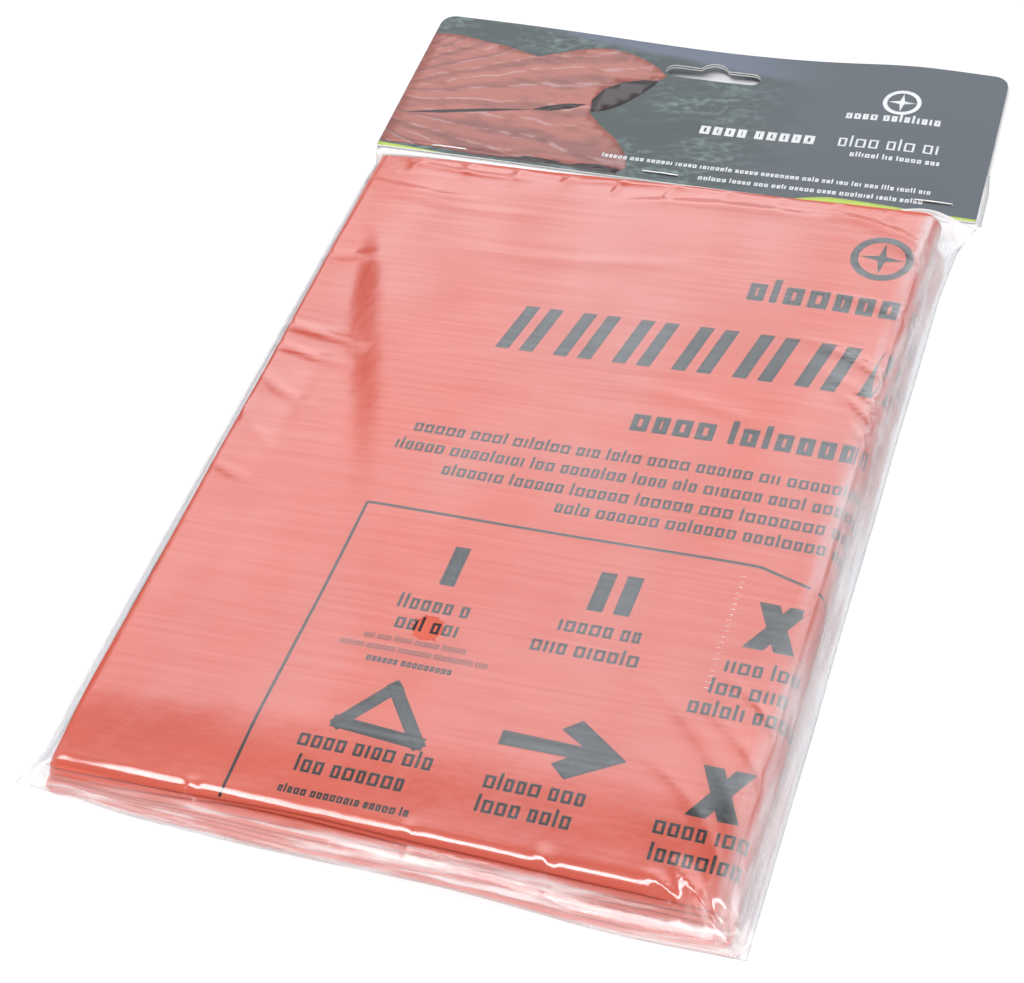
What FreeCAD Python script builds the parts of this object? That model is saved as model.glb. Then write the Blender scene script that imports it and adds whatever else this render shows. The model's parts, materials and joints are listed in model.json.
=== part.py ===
import FreeCAD, Part
import math
import os

# A survival bivi bag in its shop pack, lying flat. The polythene tube bag is folded to a flat
# stack inside a clear side-welded polybag. A folded header card closes the polybag's
# mouth with three staples and carries a euro hang slot.
#
# Frame, in millimetres: origin at the middle of the folded bag's footprint, on the surface
# the pack lies on. +Y runs from the pack's closed front end to the header card, +X is to the
# right of somebody who reads the card, and +Z is up.

# ---- driving dimensions: the folded bivi bag ------------------------------------------------
SHEET_WIDTH = 750.0            # the bag opened flat
SHEET_LENGTH = 1900.0
PANELS_ALONG = 7.5             # it is folded over and over along its length
PANELS_ACROSS = 4              # and then in half twice across its width
STACK_WIDTH = SHEET_WIDTH / PANELS_ACROSS
STACK_LENGTH = SHEET_LENGTH / PANELS_ALONG
WRAP_COUNT = 4                 # the second fold across makes wraps, nested in each other
WRAP_PITCH = 1.55              # seven or eight loose plies of film, with the air between them
WRAP_THICKNESS = 1.45
FRONT_STAGGER = 1.1            # how unevenly the wraps' front edges lie
SIDE_DRIFT = 2.2               # how far the lower half stands out at the left

# ---- driving dimensions: the polybag --------------------------------------------------------
FILM_WALL = 0.35               # modelled wall, the real film is about 0.04
AIR_GAP = 0.35                 # between the stack and the film's sides
TOP_GAP = 0.1
SIDE_WELD_WIDTH = 2.0
LEFT_EDGE_REAR = -100.0        # the polybag's flat outline
LEFT_EDGE_MIDDLE = -101.2
LEFT_MIDDLE_Y = 20.0
LEFT_EAR = (-103.4, -130.5)    # the corner that stands out past the stack
RIGHT_EAR = (97.3, -133.5)
RIGHT_EDGE_REAR = 98.0
EDGE_RADIUS = 0.7              # the film's rounding over the stack's edges
VENT_RADIUS = 4.2
VENT_PLACE = (-7.8, -63.0)
NECK_HALF_WIDTH = 97.0
NECK_END_THICKNESS = 0.5
NECK_END_GAP = 1.0             # from the neck's end to the header's swing axis

# ---- driving dimensions: the header card ----------------------------------------------------
CARD_WIDTH = 200.0
CARD_HEIGHT = 75.0
BOARD_THICKNESS = 0.45
CARD_GAP = 0.4                 # between the two panels, where the polybag's mouth lies
CARD_THICKNESS = 2 * BOARD_THICKNESS + CARD_GAP
CARD_CORNER_RADIUS = 5.0
CARD_EDGE_GAP = 1.2            # from the swing axis to the card's lower edge
SLOT_WIDTH = 33.0
SLOT_HEIGHT = 6.5
SLOT_CENTRE = (1.6, 60.75)     # across the card, and above its lower edge
SLOT_BUMP_RADIUS = 5.0
SLOT_BUMP_RISE = 1.5
MOUTH_THICKNESS = 0.3          # four plies of film, pressed flat
MOUTH_DEPTH = 26.0             # how far the film reaches up between the panels
MOUTH_LEFT = -99.0
MOUTH_RIGHT = 102.2            # it stands out past the card's right edge

# ---- driving dimensions: where the header lies ----------------------------------------------
SWING_LEFT = (-97.1, 128.9, 12.3)      # the ends of the line that the header swings about
SWING_RIGHT = (102.5, 134.2, 1.4)
CARD_PITCH = -0.4                       # degrees, the card's top end is a little lower

# ---- driving dimensions: staples ------------------------------------------------------------
STAPLE_CROWN = 12.8
STAPLE_WIRE_HEIGHT = 0.45
STAPLE_WIRE_WIDTH = 0.65
STAPLE_CLINCH = 4.6
STAPLE_BEND = 0.3
STAPLE_SEAT = 0.02
STAPLE_HOLE_CLEARANCE = 0.06
STAPLE_PLACES = {              # across the card, and above its lower edge
    "staple_left": (-75.3, 3.4),
    "staple_centre": (-2.9, 4.4),
    "staple_right": (85.6, 7.0),
}

# ---- derived sizes --------------------------------------------------------------------------
STACK_BOTTOM = FILM_WALL
STACK_MIDDLE = STACK_BOTTOM + WRAP_COUNT * WRAP_PITCH
STACK_TOP = STACK_MIDDLE + WRAP_COUNT * WRAP_PITCH
SPINE_X = STACK_WIDTH / 2 - WRAP_COUNT * WRAP_PITCH
EDGE_FOLD_RADIUS = WRAP_COUNT * WRAP_PITCH / 2
EDGE_FOLD_X = -STACK_WIDTH / 2 - SIDE_DRIFT + EDGE_FOLD_RADIUS
PACK_HEIGHT = STACK_TOP + TOP_GAP + FILM_WALL
REAR_Y = STACK_LENGTH / 2 + AIR_GAP
FRONT_Y = -REAR_Y
INNER_LEFT = -STACK_WIDTH / 2 - SIDE_DRIFT - AIR_GAP
INNER_RIGHT = STACK_WIDTH / 2 + AIR_GAP


def prism(points, height, base_z=0.0):
    """A flat plate: an outline in X and Y, raised by its height from base_z."""
    corners = [FreeCAD.Vector(x, y, base_z) for x, y in points]
    wire = Part.makePolygon(corners + [corners[0]])
    return Part.Face(wire).extrude(FreeCAD.Vector(0, 0, height))


def along_z(shape):
    """The edges of a shape that run straight up."""
    return [edge for edge in shape.Edges if abs(edge.tangentAt(edge.FirstParameter).z) > 0.999]


def round_plate(width, height, radius, thickness):
    """A plate about the origin in X and Y, with every upright edge rounded."""
    plate = Part.makeBox(width, height, thickness, FreeCAD.Vector(-width / 2, -height / 2, 0))
    return plate.makeFillet(radius, along_z(plate))


# ---- the folded bivi bag --------------------------------------------------------------------
def half_ring(x, z, radius, length, front, side):
    """Half a thick tube along Y, one wrap thick, open towards its own flat side."""
    start = FreeCAD.Vector(x, front, z)
    along = FreeCAD.Vector(0, 1, 0)
    ring = Part.makeCylinder(radius, length, start, along)
    bore = radius - WRAP_THICKNESS
    if bore > WRAP_PITCH - WRAP_THICKNESS:
        ring = ring.cut(Part.makeCylinder(bore, length, start, along))
    low_x = x if side == "right" else x - radius
    return ring.common(Part.makeBox(radius, length, 2 * radius, FreeCAD.Vector(low_x, front, z - radius)))


def wrap_ends(index):
    """The front Y and the length of one wrap, which the folding leaves a little uneven."""
    stagger = FRONT_STAGGER * (1 + math.sin(2.4 * index)) if index else 0.0
    return -STACK_LENGTH / 2 + stagger, STACK_LENGTH - 1.6 * stagger


def wrap(index):
    """One wrap: an arm below, the spine round the right side, and an arm above."""
    front, length = wrap_ends(index)
    slack = (WRAP_PITCH - WRAP_THICKNESS) / 2
    low = STACK_BOTTOM + index * WRAP_PITCH + slack
    high = STACK_TOP - (index + 1) * WRAP_PITCH + slack
    radius = (WRAP_COUNT - index) * WRAP_PITCH - slack
    spine = half_ring(SPINE_X, STACK_MIDDLE, radius, length, front, "right")
    arms = [Part.makeBox(SPINE_X - left, length, WRAP_THICKNESS, FreeCAD.Vector(left, front, z))
            for left, z in ((EDGE_FOLD_X, low), (-STACK_WIDTH / 2 + slack * index, high))]
    return spine.multiFuse(arms).removeSplitter()


def edge_fold(which):
    """A fold at the left that joins two lower arms, from the first fold across."""
    slack = (WRAP_PITCH - WRAP_THICKNESS) / 2
    radius = (EDGE_FOLD_RADIUS if which == "outer" else EDGE_FOLD_RADIUS / 2) - slack
    front, length = wrap_ends(0 if which == "outer" else 1)
    height = STACK_BOTTOM + EDGE_FOLD_RADIUS
    return half_ring(EDGE_FOLD_X, height, radius, length, front, "left")


# ---- the polybag ----------------------------------------------------------------------------
def film_outline(inset):
    """The polybag's flat outline, with its sides moved in by inset."""
    return [(LEFT_EDGE_REAR + inset, REAR_Y),
            (LEFT_EDGE_MIDDLE + inset, LEFT_MIDDLE_Y),
            (LEFT_EAR[0] + inset, LEFT_EAR[1]),
            (RIGHT_EAR[0] - inset, RIGHT_EAR[1]),
            (RIGHT_EDGE_REAR - inset, REAR_Y)]


def base_film():
    """The polybag's lower film, flat on the surface."""
    return prism(film_outline(SIDE_WELD_WIDTH), FILM_WALL)


def top_film():
    """The polybag's upper film: a margin round the stack, and a tray upside down over it."""
    margin = prism(film_outline(SIDE_WELD_WIDTH), FILM_WALL, FILM_WALL)
    outer_low = FreeCAD.Vector(INNER_LEFT - FILM_WALL, FRONT_Y - FILM_WALL, FILM_WALL)
    outer = Part.makeBox(INNER_RIGHT - INNER_LEFT + 2 * FILM_WALL, REAR_Y - FRONT_Y + FILM_WALL,
                         PACK_HEIGHT - FILM_WALL, outer_low)
    high_edges = [edge for edge in outer.Edges
                  if edge.BoundBox.ZMin > PACK_HEIGHT - 0.01 and edge.BoundBox.YMin < REAR_Y - 1]
    outer = outer.makeFillet(EDGE_RADIUS, high_edges)
    inner = Part.makeBox(INNER_RIGHT - INNER_LEFT, REAR_Y - FRONT_Y + 2 * FILM_WALL,
                         STACK_TOP + TOP_GAP, FreeCAD.Vector(INNER_LEFT, FRONT_Y, 0))
    vent = Part.makeCylinder(VENT_RADIUS, 3 * FILM_WALL,
                             FreeCAD.Vector(*VENT_PLACE, PACK_HEIGHT - 2 * FILM_WALL))
    return margin.fuse(outer).cut(inner).cut(vent).removeSplitter()


def side_weld(side):
    """The strip along one side where the two films are welded into one."""
    outside = film_outline(0)
    inside = film_outline(SIDE_WELD_WIDTH)
    picks = (0, 1, 2) if side == "left" else (3, 4)
    strip = [outside[i] for i in picks] + [inside[i] for i in reversed(picks)]
    return prism(strip, 2 * FILM_WALL)


def swing_line(x):
    """The point of the header's swing line at one X."""
    share = (x - SWING_LEFT[0]) / (SWING_RIGHT[0] - SWING_LEFT[0])
    return [a + share * (b - a) for a, b in zip(SWING_LEFT, SWING_RIGHT)]


def neck_section(x):
    """The closed outline in Y and Z of the neck at one X."""
    _, swing_y, swing_z = swing_line(x)
    end_y = swing_y - NECK_END_GAP
    half = NECK_END_THICKNESS / 2
    corners = [FreeCAD.Vector(x, REAR_Y, 0), FreeCAD.Vector(x, end_y, swing_z - half),
               FreeCAD.Vector(x, end_y, swing_z + half), FreeCAD.Vector(x, REAR_Y, PACK_HEIGHT)]
    return Part.makePolygon(corners + [corners[0]])


def neck():
    """The film that draws in from the end of the stack to the header."""
    return Part.makeLoft([neck_section(-NECK_HALF_WIDTH), neck_section(NECK_HALF_WIDTH)],
                         True, True)


# ---- the header, in its own frame: X along the swing line, Y up the card, Z out of its face --
def header_placement():
    """The header's place on the pack: its X on the swing line, its Y level but for the pitch."""
    left = FreeCAD.Vector(*SWING_LEFT)
    right = FreeCAD.Vector(*SWING_RIGHT)
    along = (right - left).normalize()
    level = FreeCAD.Vector(0, 0, 1).cross(along).normalize()
    pitch = FreeCAD.Rotation(along, CARD_PITCH)
    up_card = pitch.multVec(level)
    face = along.cross(up_card)
    turn = FreeCAD.Rotation(along, up_card, face, "XYZ")
    return FreeCAD.Placement((left + right) * 0.5, turn)


def hang_slot():
    """The cutter of the euro slot: a long slot with a round rise in the middle of its top."""
    radius = SLOT_HEIGHT / 2
    depth = 4 * CARD_THICKNESS
    slot = round_plate(SLOT_WIDTH, SLOT_HEIGHT, radius - 0.001, depth)
    bump = Part.makeCylinder(SLOT_BUMP_RADIUS, depth, FreeCAD.Vector(0, SLOT_BUMP_RISE, 0))
    below = Part.makeBox(SLOT_WIDTH, SLOT_WIDTH, depth,
                         FreeCAD.Vector(-SLOT_WIDTH / 2, -SLOT_WIDTH - radius, 0))
    slot = slot.fuse(bump.cut(below)).removeSplitter()
    slot.translate(FreeCAD.Vector(SLOT_CENTRE[0], CARD_EDGE_GAP + SLOT_CENTRE[1], -depth / 2))
    return slot


def leg_holes(thickness):
    """The holes that the staples' legs make, through a sheet of this thickness."""
    width = STAPLE_WIRE_HEIGHT + 2 * STAPLE_HOLE_CLEARANCE
    height = STAPLE_WIRE_WIDTH + 2 * STAPLE_HOLE_CLEARANCE
    holes = []
    for across, up in STAPLE_PLACES.values():
        for side in (-1, 1):
            leg_x = across + side * (STAPLE_CROWN - STAPLE_WIRE_HEIGHT) / 2
            corner = FreeCAD.Vector(leg_x - width / 2, CARD_EDGE_GAP + up - height / 2, -thickness)
            holes.append(Part.makeBox(width, height, 2 * thickness, corner))
    return holes


def header_card():
    """The board, folded over at its top: two panels with the mouth of the polybag between."""
    board = Part.makeBox(CARD_WIDTH, CARD_HEIGHT, CARD_THICKNESS,
                         FreeCAD.Vector(-CARD_WIDTH / 2, CARD_EDGE_GAP, -CARD_THICKNESS / 2))
    top = CARD_EDGE_GAP + CARD_HEIGHT
    corners = [edge for edge in along_z(board) if edge.BoundBox.YMin > top - 1]
    board = board.makeFillet(CARD_CORNER_RADIUS, corners)
    gap = Part.makeBox(CARD_WIDTH + 2, CARD_HEIGHT - BOARD_THICKNESS, CARD_GAP,
                       FreeCAD.Vector(-CARD_WIDTH / 2 - 1, CARD_EDGE_GAP, -CARD_GAP / 2))
    return board.cut(gap).cut(hang_slot()).cut(Part.makeCompound(leg_holes(CARD_THICKNESS)))


def mouth_film():
    """The polybag's mouth, pressed flat between the card's panels."""
    film = Part.makeBox(MOUTH_RIGHT - MOUTH_LEFT, MOUTH_DEPTH, MOUTH_THICKNESS,
                        FreeCAD.Vector(MOUTH_LEFT, CARD_EDGE_GAP, -MOUTH_THICKNESS / 2))
    return film.cut(Part.makeCompound(leg_holes(CARD_THICKNESS)))


def staple(across, up):
    """A wire staple: its crown on the card's face, its legs through it and clinched behind."""
    half = STAPLE_CROWN / 2
    wire = STAPLE_WIRE_HEIGHT
    face = CARD_THICKNESS / 2 + STAPLE_SEAT
    outline = [(-half, face + wire), (half, face + wire), (half, -face - wire),
               (half - STAPLE_CLINCH, -face - wire), (half - STAPLE_CLINCH, -face),
               (half - wire, -face), (half - wire, face), (-half + wire, face),
               (-half + wire, -face), (-half + STAPLE_CLINCH, -face),
               (-half + STAPLE_CLINCH, -face - wire), (-half, -face - wire)]
    low = CARD_EDGE_GAP + up - STAPLE_WIRE_WIDTH / 2
    corners = [FreeCAD.Vector(across + x, low, z) for x, z in outline]
    wire_shape = Part.Face(Part.makePolygon(corners + [corners[0]]))
    solid = wire_shape.extrude(FreeCAD.Vector(0, STAPLE_WIRE_WIDTH, 0))
    bends = [edge for edge in solid.Edges
             if abs(edge.tangentAt(edge.FirstParameter).y) > 0.999
             and abs(abs(edge.BoundBox.XMin - across) - half) < 0.01]
    return solid.makeFillet(STAPLE_BEND, bends)


def on_header(shape):
    """A shape of the header's own frame, put where the header lies."""
    placed = shape.copy()
    placed.Placement = header_placement().multiply(placed.Placement)
    return placed


# ---- every node of the pack -----------------------------------------------------------------
def nodes():
    """Each node's name and solid."""
    parts = {f"bag_wrap_{index + 1}": wrap(index) for index in range(WRAP_COUNT)}
    parts["bag_edge_fold_outer"] = edge_fold("outer")
    parts["bag_edge_fold_inner"] = edge_fold("inner")
    parts["polybag_base_film"] = base_film()
    parts["polybag_top_film"] = top_film()
    parts["polybag_weld_left"] = side_weld("left")
    parts["polybag_weld_right"] = side_weld("right")
    parts["polybag_neck"] = neck()
    parts["polybag_mouth"] = on_header(mouth_film())
    parts["header_card"] = on_header(header_card())
    for name, (across, up) in STAPLE_PLACES.items():
        parts[name] = on_header(staple(across, up))
    return parts


os.makedirs("parts", exist_ok=True)
for name, shape in nodes().items():
    if not shape.isValid() or len(shape.Solids) != 1:
        raise ValueError(f"{name} is not one valid solid")
    shape.exportStep(f"parts/{name}.step")
    box = shape.BoundBox
    print(f"{name:20s} {shape.Volume / 1000:8.3f} cm3  x {box.XMin:7.1f} {box.XMax:7.1f}"
          f"  y {box.YMin:7.1f} {box.YMax:7.1f}  z {box.ZMin:5.2f} {box.ZMax:5.2f}")
placement = header_placement()
slot_centre = placement.multVec(FreeCAD.Vector(SLOT_CENTRE[0], CARD_EDGE_GAP + SLOT_CENTRE[1], 0))
swing_axis = placement.Rotation.multVec(FreeCAD.Vector(1, 0, 0))
card_face = placement.Rotation.multVec(FreeCAD.Vector(0, 0, 1))
print("swing point", tuple(round(value, 3) for value in placement.Base))
print("swing axis ", tuple(round(value, 5) for value in swing_axis))
print("slot centre", tuple(round(value, 3) for value in slot_centre))
print("card face  ", tuple(round(value, 5) for value in card_face))
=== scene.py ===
"""A survival bivi bag in its shop pack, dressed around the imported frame.

The folded bag is two long sheets of many plies, nested round a spine at the right. A clear
polybag lies over them, with its mouth pressed in a folded header card that three staples hold.
Shapes are worked out in millimetres in the row frame and are put into the meshes in metres.
"""
import json
import logging
import math
from collections.abc import Callable
from dataclasses import dataclass, field
from enum import Enum

import bmesh
import bpy
import numpy as np
from mathutils import Matrix, Vector


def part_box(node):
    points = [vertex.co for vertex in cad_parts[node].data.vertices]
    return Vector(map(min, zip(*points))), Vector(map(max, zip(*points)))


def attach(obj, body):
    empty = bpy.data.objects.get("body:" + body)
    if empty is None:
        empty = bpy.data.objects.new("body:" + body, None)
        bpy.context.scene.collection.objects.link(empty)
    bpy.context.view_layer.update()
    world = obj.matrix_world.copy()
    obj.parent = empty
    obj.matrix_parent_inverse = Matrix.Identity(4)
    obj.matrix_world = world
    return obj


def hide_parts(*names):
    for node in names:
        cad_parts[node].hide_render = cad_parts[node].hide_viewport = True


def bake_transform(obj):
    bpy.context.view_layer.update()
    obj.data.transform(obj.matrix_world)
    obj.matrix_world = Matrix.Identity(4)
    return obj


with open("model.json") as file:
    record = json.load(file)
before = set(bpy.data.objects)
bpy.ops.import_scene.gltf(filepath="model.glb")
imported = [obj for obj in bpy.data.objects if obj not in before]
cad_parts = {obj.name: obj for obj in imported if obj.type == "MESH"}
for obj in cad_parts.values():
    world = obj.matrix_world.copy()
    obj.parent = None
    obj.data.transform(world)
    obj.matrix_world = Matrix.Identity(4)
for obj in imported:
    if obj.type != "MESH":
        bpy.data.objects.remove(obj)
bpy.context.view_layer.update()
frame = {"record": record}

LOG = logging.getLogger("bivi_pack")
MM = 0.001
Array = np.ndarray


# ---- numbers and shapes ---------------------------------------------------------------------
def smooth(value: Array, low: float, high: float) -> Array:
    """A soft step from 0 at low to 1 at high: 3t² - 2t³ of the clipped share t.

    Args:
        value: the numbers to step over.
        low: where the step starts; it may be the larger of the two.
        high: where the step ends.

    Returns:
        The step at each number.
    """
    share = np.clip((value - low) / (high - low), 0.0, 1.0)
    return share * share * (3.0 - 2.0 * share)


def swell(x: Array, y: Array, seed: int, length: float, count: int = 12) -> Array:
    """Soft unevenness from about -1 to 1: a mean of sine waves with their own direction.

    Args:
        x: the first coordinate, in millimetres.
        y: the second coordinate.
        seed: fixes the waves' directions and phases.
        length: the middle wavelength; each wave has 0.7 to 1.5 times that.
        count: how many waves are added.

    Returns:
        The sum of the waves over the square root of half their count, halved.
    """
    rng = np.random.default_rng(seed)
    turn = rng.uniform(0, math.pi, count)
    phase = rng.uniform(0, 2 * math.pi, count)
    pace = 2 * math.pi / (length * rng.uniform(0.7, 1.5, count))
    waves = np.sin(pace * (x[..., None] * np.cos(turn) + y[..., None] * np.sin(turn)) + phase)
    return 0.5 * waves.sum(-1) / math.sqrt(count / 2)


def spaced(*stops: tuple[float, float]) -> Array:
    """Positions that pass through stops, with each stretch cut at its own pitch.

    Args:
        stops: (position, pitch from this stop to the next) pairs, in order.

    Returns:
        The positions, each once.
    """
    runs = [np.linspace(a, b, max(2, round(abs(b - a) / pitch) + 1))[:-1]
            for (a, pitch), (b, _) in zip(stops[:-1], stops[1:])]
    return np.concatenate(runs + [np.array([stops[-1][0]])])


def once_round(sides: int) -> Array:
    """The angles of a loop's points, evenly spaced once round."""
    return np.linspace(0, 2 * math.pi, sides + 1)[:-1]


@dataclass(frozen=True)
class Crease:
    """A ridge in a film, from start to end: a bell across it that fades at both ends."""

    start: tuple[float, float]
    end: tuple[float, float]
    height: float
    width: float
    bow: float = 0.0

    def rise(self, x: Array, y: Array) -> Array:
        """The ridge's height: height * exp(-(across/width)²) * sin(pi * along) ** 0.7.

        Args:
            x: where, in millimetres.
            y: where, in millimetres.

        Returns:
            The height at each place, 0 beyond the ridge's ends.
        """
        run = np.subtract(self.end, self.start)
        length = float(np.hypot(*run))
        way = run / length
        along = ((x - self.start[0]) * way[0] + (y - self.start[1]) * way[1]) / length
        across = (y - self.start[1]) * way[0] - (x - self.start[0]) * way[1]
        inside = np.clip(along, 0.0, 1.0)
        across = across - self.bow * 4 * inside * (1 - inside)
        fade = np.sin(math.pi * inside) ** 0.7 * ((along > 0) & (along < 1))
        return self.height * np.exp(-(across / self.width) ** 2) * fade


@dataclass
class Shell:
    """The points and faces of one piece, gathered from grids of points in millimetres."""

    points: list[Array] = field(default_factory=list)
    faces: list[tuple[int, ...]] = field(default_factory=list)
    count: int = 0

    def _take(self, points: Array) -> Array:
        """Stores points and returns their indices in the points' own grid shape."""
        flat = points.reshape(-1, 3)
        index = np.arange(len(flat)).reshape(points.shape[:-1]) + self.count
        self.points.append(flat)
        self.count += len(flat)
        return index

    def grid(self, points: Array, closed: bool = False, keep: Array | None = None) -> "Shell":
        """Adds a grid of points as four-sided faces.

        Args:
            points: an array of rows, columns and three coordinates.
            closed: whether each row of points closes on itself.
            keep: which faces stay, where some are left out.

        Returns:
            This shell.
        """
        index = self._take(points)
        if closed:
            index = np.concatenate([index, index[:, :1]], 1)
        quads = np.stack([index[:-1, :-1], index[1:, :-1], index[1:, 1:], index[:-1, 1:]], -1)
        quads = quads.reshape(-1, 4) if keep is None else quads[keep]
        self.faces += quads.tolist()
        return self

    def tube(self, loops: Array, paired: bool = False) -> "Shell":
        """Adds a closed tube of loops and covers its ends.

        Args:
            loops: an array of loops, points and three coordinates.
            paired: covers each end with strips between a loop's first half and its second half
                in reverse, as on a folded section; if not, a fan of triangles covers it.

        Returns:
            This shell.
        """
        first = self.count
        rows, columns = loops.shape[:2]
        self.grid(loops, closed=True)
        if paired:
            for loop in (loops[0], loops[-1]):
                self.grid(np.stack([loop[:columns // 2], loop[:columns // 2 - 1:-1]]))
            return self
        for row in (0, rows - 1):
            ring = first + row * columns + np.arange(columns)
            middle = int(self._take(loops[row].mean(0)[None])[0])
            self.faces += np.stack([np.full(columns, middle), ring, np.roll(ring, -1)], -1).tolist()
        return self

    def outline(self, corners: Array) -> "Shell":
        """Adds one flat face round a list of corners."""
        self.faces.append(tuple(self._take(corners).tolist()))
        return self

    def build(self, name: str, weld: float = 0.002) -> bpy.types.Object:
        """Makes the piece: points in metres, doubles merged, faces turned outwards.

        Args:
            name: the piece's name.
            weld: how near two points are merged, in millimetres.

        Returns:
            The new object, linked to the scene.
        """
        mesh = bpy.data.meshes.new(name)
        mesh.from_pydata((np.concatenate(self.points) * MM).tolist(), [], self.faces)
        form = bmesh.new()
        form.from_mesh(mesh)
        bmesh.ops.remove_doubles(form, verts=form.verts, dist=weld * MM)
        bmesh.ops.recalc_face_normals(form, faces=form.faces)
        form.to_mesh(mesh)
        form.free()
        mesh.shade_smooth()
        piece = bpy.data.objects.new(name, mesh)
        bpy.context.scene.collection.objects.link(piece)
        return piece


def settle(piece: bpy.types.Object) -> bpy.types.Object:
    """Applies a piece's modifiers to its mesh and removes them."""
    bpy.context.view_layer.update()
    done = bpy.data.meshes.new_from_object(
        piece.evaluated_get(bpy.context.evaluated_depsgraph_get()))
    piece.modifiers.clear()
    piece.data = done
    return piece


# ---- shader maths ---------------------------------------------------------------------------
@dataclass(frozen=True)
class Signal:
    """A socket that carries a number, with arithmetic that adds Math nodes."""

    tree: bpy.types.NodeTree
    socket: bpy.types.NodeSocket

    def _math(self, operation: str, *values: "Signal | float") -> "Signal":
        """Adds one Math node over values and returns its result."""
        node = self.tree.nodes.new("ShaderNodeMath")
        node.operation = operation
        for slot, value in zip(node.inputs, values):
            if isinstance(value, Signal):
                self.tree.links.new(value.socket, slot)
            else:
                slot.default_value = value
        return Signal(self.tree, node.outputs[0])

    def __add__(self, other: "Signal | float") -> "Signal":
        """self + other."""
        return self._math("ADD", self, other)

    def __sub__(self, other: "Signal | float") -> "Signal":
        """self - other."""
        return self._math("SUBTRACT", self, other)

    def __rsub__(self, other: float) -> "Signal":
        """other - self."""
        return self._math("SUBTRACT", other, self)

    def __mul__(self, other: "Signal | float") -> "Signal":
        """self * other."""
        return self._math("MULTIPLY", self, other)

    def __truediv__(self, other: "Signal | float") -> "Signal":
        """self / other."""
        return self._math("DIVIDE", self, other)

    __radd__ = __add__
    __rmul__ = __mul__

    def absolute(self) -> "Signal":
        """The value without its sign."""
        return self._math("ABSOLUTE", self)

    def sine(self) -> "Signal":
        """The sine of the value in radians."""
        return self._math("SINE", self)

    def most(self, other: "Signal | float") -> "Signal":
        """The larger of the two."""
        return self._math("MAXIMUM", self, other)

    def step(self, low: float, high: float) -> "Signal":
        """A soft step from 0 at low to 1 at high; low may be the larger."""
        share = (self - low) / (high - low)
        clipped = self._math("MINIMUM", self._math("MAXIMUM", share, 0.0), 1.0)
        return clipped * clipped * (3.0 - 2.0 * clipped)


Colour = tuple[float, float, float]


class Paint:
    """One material and the few calls that its nodes are made with."""

    def __init__(self, name: str) -> None:
        """Starts an empty node tree.

        Args:
            name: the material's name.
        """
        self.material = bpy.data.materials.new(name)
        self.material.use_nodes = True
        self.tree = self.material.node_tree
        self.tree.nodes.clear()
        self.place = self.add("ShaderNodeTexCoord", {}, {}, "Object")

    def add(self, kind: str, settings: dict, inputs: dict, output: str | int = 0) -> Signal:
        """Adds one node.

        Args:
            kind: the node's type.
            settings: its properties.
            inputs: its sockets' values or links.
            output: the name or number of the socket to return.

        Returns:
            The chosen output.
        """
        node = self.tree.nodes.new(kind)
        for key, value in settings.items():
            setattr(node, key, value)
        for key, value in inputs.items():
            slot = node.inputs[key]
            if isinstance(value, Signal):
                self.tree.links.new(value.socket, slot)
            else:
                slot.default_value = (*value, 1.0) if slot.type == "RGBA" else value
        return Signal(self.tree, node.outputs[output])

    def axis(self, direction: tuple[float, float, float], start: float = 0.0) -> Signal:
        """How far a point lies along a direction from the origin, in millimetres, less start."""
        scaled = tuple(float(part) / MM for part in direction)
        along = self.add("ShaderNodeVectorMath", {"operation": "DOT_PRODUCT"},
                         {0: self.place, 1: scaled}, "Value")
        return along - start

    def on_card(self, header: "HeaderFrame") -> tuple[Signal, Signal]:
        """How far a point lies across the card and up it, in the header's own directions."""
        across = self.axis(tuple(header.along), float(header.origin @ header.along))
        up = self.axis(tuple(header.up), float(header.origin @ header.up) + header.edge_gap)
        return across, up

    def noise(self, scale: tuple[float, float, float], detail: float = 3.0) -> Signal:
        """Noise from 0 to 1 with its own scale, per millimetre, along each axis."""
        scaled = self.add("ShaderNodeVectorMath", {"operation": "MULTIPLY"},
                          {0: self.place, 1: tuple(part / MM for part in scale)})
        return self.add("ShaderNodeTexNoise", {}, {"Vector": scaled, "Scale": 1.0, "Detail": detail})

    def blend(self, share: Signal, low: "Colour | Signal", high: "Colour | Signal") -> Signal:
        """A colour between low, where share is 0, and high, where it is 1."""
        return self.add("ShaderNodeMix", {"data_type": "RGBA"}, {0: share, 6: low, 7: high}, 2)

    def bump(self, height: Signal, depth: float) -> Signal:
        """A normal that follows a height of some depth in millimetres."""
        return self.add("ShaderNodeBump", {}, {"Height": height, "Distance": depth * MM,
                                               "Strength": 1.0})

    def surface(self, shader: Signal) -> bpy.types.Material:
        """Links a shader to the material's output and returns the material."""
        out = self.tree.nodes.new("ShaderNodeOutputMaterial")
        self.tree.links.new(shader.socket, out.inputs["Surface"])
        return self.material

    def plain(self, **inputs: object) -> Signal:
        """A Principled shader, with its sockets named with underscores for spaces."""
        named = {key.replace("_", " "): value for key, value in inputs.items()}
        return self.add("ShaderNodeBsdfPrincipled", {}, named)


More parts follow.
